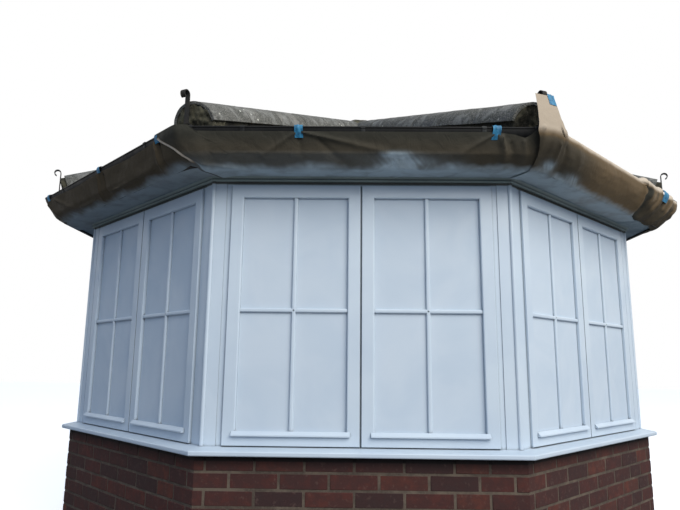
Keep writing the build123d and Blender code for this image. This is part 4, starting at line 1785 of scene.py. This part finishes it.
@dataclass
class MaskedEaves(Assembly):
    """The masking paper over the eaves with the tape that holds it."""

    full_run: float = 0.325
    wrap: float = 0.178

    @property
    def last(self) -> float:
        """How far from the middle of an octagon's face the paper ends on the returns."""
        return PLAN.corner(PLAN.wrap_out) - self.wrap

    def front(self) -> Sheet:
        """The front sheet with folds that run out from its two tapes."""
        side = Side.FRONT
        return FrontSheet(
            "masking_paper_front", TUCKED, ((side, -1.02), (side, 0.835)), (0.0, self.full_run),
            creases=Crease.rows(
                side,
                ((-0.275, 0.004), (0.10, 0.088), 0.012, 0.0105),
                ((-0.310, 0.008), (-0.470, 0.110), 0.011, 0.0090),
                ((-0.292, 0.020), (-0.292, 0.095), 0.014, -0.0080),
                ((-0.200, 0.040), (-0.090, 0.150), 0.020, -0.0070),
                ((0.590, 0.012), (0.455, 0.096), 0.011, 0.0100),
                ((0.610, 0.012), (0.655, 0.080), 0.010, 0.0080),
                ((0.632, 0.020), (0.668, 0.130), 0.012, 0.0130),
                ((0.680, 0.050), (0.722, 0.150), 0.016, -0.0090),
                ((0.735, 0.040), (0.775, 0.150), 0.016, 0.0140),
                ((-0.700, 0.0985), (0.760, 0.0985), 0.0035, 0.0030, 1.2),
                ((-0.780, 0.150), (-0.560, 0.205), 0.010, 0.0050)),
            bursts=Burst.rows(
                side,
                ((0.165, 0.105), (0.055, 0.014), 1.9),
                ((0.205, 0.150), (0.100, 0.030), 1.7),
                ((0.440, 0.160), (0.050, 0.022), 0.35),
                ((-0.840, 0.160), (0.06, 0.03), 0.4)),
            rests_on=("gutter_front", "fascia", "soffit"), lift=0.0022, spray_from=0.168, spray=0.78,
            # The paper's paleness here is painted light and shade.
            mist=0.09, painted_light=(0.0, 0.035), seed=1.7)

    def left(self) -> Sheet:
        """The left sheet with soft folds below its tapes."""
        side, back = Side.LEFT_FRONT, Side.LEFT_RETURN
        return LeftSheet(
            "masking_paper_left", TUCKED, ((back, self.last), (side, 0.900)), (0.0, self.full_run),
            creases=Crease.rows(
                side,
                ((0.655, 0.006), (0.645, 0.150), 0.013, 0.0170),
                ((0.690, 0.010), (0.690, 0.130), 0.012, -0.0130),
                ((-0.010, 0.010), (-0.100, 0.150), 0.014, 0.0160),
                ((0.040, 0.020), (0.000, 0.120), 0.013, -0.0120),
                ((0.040, 0.121), (0.560, 0.111), 0.009, 0.0100),
                ((-0.400, 0.132), (-0.190, 0.134), 0.009, 0.0090),
                ((-0.700, 0.020), (-0.420, 0.150), 0.020, 0.0100),
                ((-0.840, 0.030), (-0.760, 0.150), 0.026, 0.0080)) + Crease.rows(
                    back, ((0.790, 0.020), (0.800, 0.160), 0.022, 0.0080)),
            bursts=Burst.rows(side, ((0.76, 0.150), (0.07, 0.020), 0.45),
                              ((-0.60, 0.150), (0.20, 0.020), 0.3)),
            rests_on=("gutter_left_front", "gutter_left_return", "fascia", "soffit"), spray_from=0.158,
            # The paper's paleness here is painted light and shade.
            slack=70.0, spray=0.62, painted_light=(0.06, 0.06), seed=31.0, billow=0.006)

    def right(self) -> Sheet:
        """The right sheet with its flap and upright folds."""
        side = Side.RIGHT_FRONT
        return RightSheet(
            "masking_paper_right", ROLLED, ((Side.FRONT, 0.780), (side, 0.150)), (-0.198, self.full_run),
            creases=Crease.rows(
                side,
                ((-0.915, -0.010), (-0.905, 0.140), 0.016, 0.0110),
                ((-0.865, 0.020), (-0.855, 0.180), 0.016, -0.0050),
                ((-0.790, 0.040), (-0.760, 0.165), 0.017, 0.0130),
                ((-0.720, 0.040), (-0.660, 0.170), 0.024, -0.0100),
                ((-0.600, 0.020), (-0.520, 0.150), 0.040, 0.0060),
                ((0.220, -0.060), (0.330, 0.180), 0.018, 0.0160)),
            bursts=Burst.rows(
                side,
                ((-0.78, 0.150), (0.040, 0.025), 1.1),
                ((-0.53, 0.155), (0.06, 0.022), 0.9),
                ((-0.45, 0.180), (0.08, 0.020), 0.35)),
            rests_on=("gutter_right_front", "hip_irons", "fascia", "soffit"), lift=0.0035, spray_from=0.172,
            # The paper's paleness is painted light and shade, with a painted highlight on the rim.
            painted_light=(0.14, 0.15), rim=0.70, seed=57.0, billow=0.006)

    def right_wrap(self) -> Sheet:
        """The bunched sheet round the right-hand back corner."""
        side, back = Side.RIGHT_FRONT, Side.RIGHT_RETURN
        return WrapSheet(
            "masking_paper_right_wrap", ROLLED, ((side, 0.150), (back, -self.last)), (-0.070, 0.215),
            creases=Crease.rows(
                side,
                ((0.270, -0.030), (0.400, -0.010), 0.090, 0.0240, 2.0),
                ((0.300, -0.010), (0.400, 0.140), 0.022, -0.0120),
                ((0.520, -0.060), (0.480, 0.200), 0.024, 0.0160),
                ((0.620, -0.060), (0.600, 0.180), 0.020, -0.0120),
                ((0.720, -0.050), (0.690, 0.200), 0.020, 0.0160),
                ((0.800, 0.000), (0.800, 0.180), 0.020, -0.0100)) + Crease.rows(
                    back, ((-0.790, 0.000), (-0.800, 0.180), 0.020, 0.0100)),
            rests_on=("gutter_right_front", "gutter_right_return", "fascia"), lift=0.0008, spray_from=0.30,
            # The paper's paleness is painted light and shade, with a painted highlight on the rim.
            painted_light=(0.06, 0.05), rim=0.85, seed=83.0, billow=0.009, crumple=0.0034, slack=70.0)

    def tapes(self) -> list[Sheet]:
        """Every piece of tape over the gutter, by its middle, how far it hangs and half its width."""
        spots = (("front_left", Side.FRONT, -0.291, 0.030, 0.019),
                 ("front_right", Side.FRONT, 0.603, 0.036, 0.019),
                 ("left_near", Side.LEFT_FRONT, 0.690, 0.014, 0.024),
                 ("left_middle", Side.LEFT_FRONT, 0.010, 0.006, 0.018),
                 ("left_far", Side.LEFT_FRONT, -0.785, 0.012, 0.016),
                 ("right_far", Side.RIGHT_FRONT, 0.595, 0.026, 0.044))
        made = []
        for order, (label, side, x, foot, half) in enumerate(spots):
            made.append(TapePiece(
                "tape_" + label, TAPED, ((side, x - half), (side, x + half)), (-0.045, foot),
                creases=Crease.rows(side, ((x - 0.006, -0.040), (x + 0.004, foot), 0.005, 0.0030),
                                    ((x + 0.012, 0.000), (x + 0.016, foot), 0.004, -0.0020)),
                rests_on=("gutter_" + side.label,), lift=0.0180 if label == "right_far" else 0.0042,
                crumple=0.0026, billow=0.0, grain=0.0028, seed=101.0 + 7 * order, thick=0.0004))
        return made

    def flap_tape(self) -> Sheet:
        """The piece of tape that holds the flap's top to the hip iron."""
        middle = HIP + 0.022
        x0, x1 = ((PLAN.wrap_radius) * math.tan((middle + step) / AROUND) for step in (-0.020, 0.020))
        crease = Crease(Side.FRONT, ((x0 + x1) / 2, -0.204), ((x0 + x1) / 2 + 0.004, -0.140), 0.005, 0.003)
        return FlapTape("tape_flap", ROLLED, ((Side.FRONT, x0), (Side.FRONT, x1)), (-0.200, -0.140),
                        creases=(crease,), rests_on=("hip_irons",), lift=0.0052, crumple=0.0040, billow=0.0,
                        grain=0.0028, seed=150.0, thick=0.0004)

    def build(self) -> None:
        """Hang the sheets and stick the tape on."""
        self.keep(self.front().make(), self.finishes.paper, "masking_paper", "paper_front")
        self.keep(self.left().make(), self.finishes.paper, "masking_paper", "paper_left")
        self.keep(self.right().make(), self.finishes.paper, "masking_paper", "paper_right", "paper_flap")
        self.keep(self.right_wrap().make(), self.finishes.paper, "masking_paper", "paper_right")
        for tape in [*self.tapes(), self.flap_tape()]:
            self.keep(tape.make(), self.finishes.tape, "masking_paper")


# Inside


class Inside(Assembly):
    """The room side of the bay and the boards and timbers of the eaves."""

    def build(self) -> None:
        """Dress the walls, floor, ceiling, eaves boards and timbers."""
        self.dress(self.finishes.plaster, "inner_leaf", "ceiling")
        self.dress(self.finishes.concrete, "floor_slab")
        self.dress(self.finishes.board, "fascia")
        self.dress(self.finishes.soffit, "soffit")
        self.dress(self.finishes.timber, "roof_timbers", "ring_beam")
        self.dress(self.finishes.iron, "hip_irons")


# Studio


@dataclass
class Studio:
    """The camera at the photograph's angle, a pale floor and soft lamps."""

    focal: float = 588.97
    picture_width: float = 680.0
    sensor: float = 36.0
    pitch: float = math.radians(10.60)
    yaw: float = -0.0157316645
    roll: float = math.radians(0.607)
    stand: tuple[float, float, float] = (-0.0583107, -4.5921935, 1.1560763)
    ambient: float = 0.50
    distance: float = 12.0
    heading: float = math.radians(30)
    height: float = math.radians(32)
    target: tuple[float, float, float] = (0.0, 0.0, 1.4)
    power: float = 1460.0
    glow: float = 0.65

    def camera(self) -> None:
        """Set the camera from its fitted direction and place."""
        ahead = Vector((math.sin(self.yaw) * math.cos(self.pitch), math.cos(self.yaw) * math.cos(self.pitch),
                        math.sin(self.pitch)))
        level = Vector((math.cos(self.yaw), -math.sin(self.yaw), 0.0))
        upright = level.cross(ahead)
        right = math.cos(self.roll) * level + math.sin(self.roll) * upright
        up = math.cos(self.roll) * upright - math.sin(self.roll) * level
        lens = bpy.data.cameras.new("camera")
        lens.sensor_fit = "HORIZONTAL"
        lens.sensor_width = self.sensor
        lens.lens = self.focal / self.picture_width * self.sensor
        lens.clip_end = 200.0
        stand = bpy.data.objects.new("camera", lens)
        bpy.context.scene.collection.objects.link(stand)
        turn = Matrix((right, up, -ahead)).transposed().to_4x4()
        stand.matrix_world = Matrix.Translation(self.stand) @ turn
        bpy.context.scene.camera = stand

    def lamp(self, name: str, place: Sequence[float], aim: Sequence[float], size: tuple[float, float],
             power: float) -> None:
        """One soft rectangular lamp that points at the bay."""
        light = bpy.data.lights.new(name, "AREA")
        light.shape = "RECTANGLE"
        light.size, light.size_y = size
        light.energy = power
        light.color = (1.0, 0.955, 0.87)
        lamp = bpy.data.objects.new(name, light)
        bpy.context.scene.collection.objects.link(lamp)
        lamp.matrix_world = (Matrix.Translation(place)
                             @ (Vector(aim) - Vector(place)).to_track_quat("-Z", "Y").to_matrix().to_4x4())

    def world(self) -> None:
        """Soft ambient light, with a white background for camera, gloss and glass."""
        world = bpy.data.worlds.new("studio")
        bpy.context.scene.world = world
        world.use_nodes = True
        world.node_tree.nodes.clear()
        graph = Graph(world.node_tree)
        rays = graph.node("LightPath")
        seen = graph.sum("MAXIMUM", rays.outputs["Is Camera Ray"], rays.outputs["Is Glossy Ray"])
        seen = graph.sum("MAXIMUM", seen, rays.outputs["Is Transmission Ray"])
        soft = graph.node("Background", Color=(0.50, 0.69, 1.0, 1.0), Strength=self.ambient)
        white = graph.node("Background", Color=(1.0, 1.0, 1.0, 1.0), Strength=1.0)
        mixed = graph.node("MixShader")
        graph.feed(mixed.inputs[0], seen)
        graph.feed(mixed.inputs[1], soft.outputs[0])
        graph.feed(mixed.inputs[2], white.outputs[0])
        end = graph.node("OutputWorld")
        graph.feed(end.inputs["Surface"], mixed.outputs[0])

    def floor(self) -> None:
        """A plain pale floor."""
        Bench.clear()
        bpy.ops.mesh.primitive_plane_add(size=60.0, location=(0, 0, -0.001))
        plane = Bench.settle("studio_floor")
        paint = bpy.data.materials.new("studio_floor")
        paint.use_nodes = True
        graph = Graph(paint.node_tree)
        seen = graph.node("LightPath").outputs["Is Camera Ray"]
        shader = paint.node_tree.nodes["Principled BSDF"]
        graph.feed(shader.inputs["Base Color"], graph.mix(seen, tint(120, 120, 120), tint(248, 248, 248)))
        shader.inputs["Roughness"].default_value = 0.9
        shader.inputs["Emission Color"].default_value = (1.0, 1.0, 1.0, 1.0)
        graph.feed(shader.inputs["Emission Strength"], graph.sum("MULTIPLY", seen, self.glow))
        plane.data.materials.append(paint)

    def build(self) -> None:
        """Set up the studio."""
        self.camera()
        self.world()
        self.floor()
        level = math.cos(self.height)
        way = Vector((math.sin(self.heading) * level, -math.cos(self.heading) * level, math.sin(self.height)))
        self.lamp("key", Vector(self.target) + way * self.distance, self.target, (10.0, 8.5), self.power)


def main() -> None:
    """Build the bay from the plinth up."""
    logging.basicConfig(level=logging.INFO, format="%(name)s: %(message)s")
    bpy.context.scene.view_settings.view_transform = "Standard"
    finishes = Finishes()
    for assembly in (BrickPlinth(finishes), Windows(finishes), RoofCovering(finishes), CapCourse(finishes),
                     Rainwater(finishes), MaskedEaves(finishes), Inside(finishes)):
        LOG.info("building %s", type(assembly).__name__)
        assembly.build()
    Studio().build()


if __name__ == "__main__":
    main()
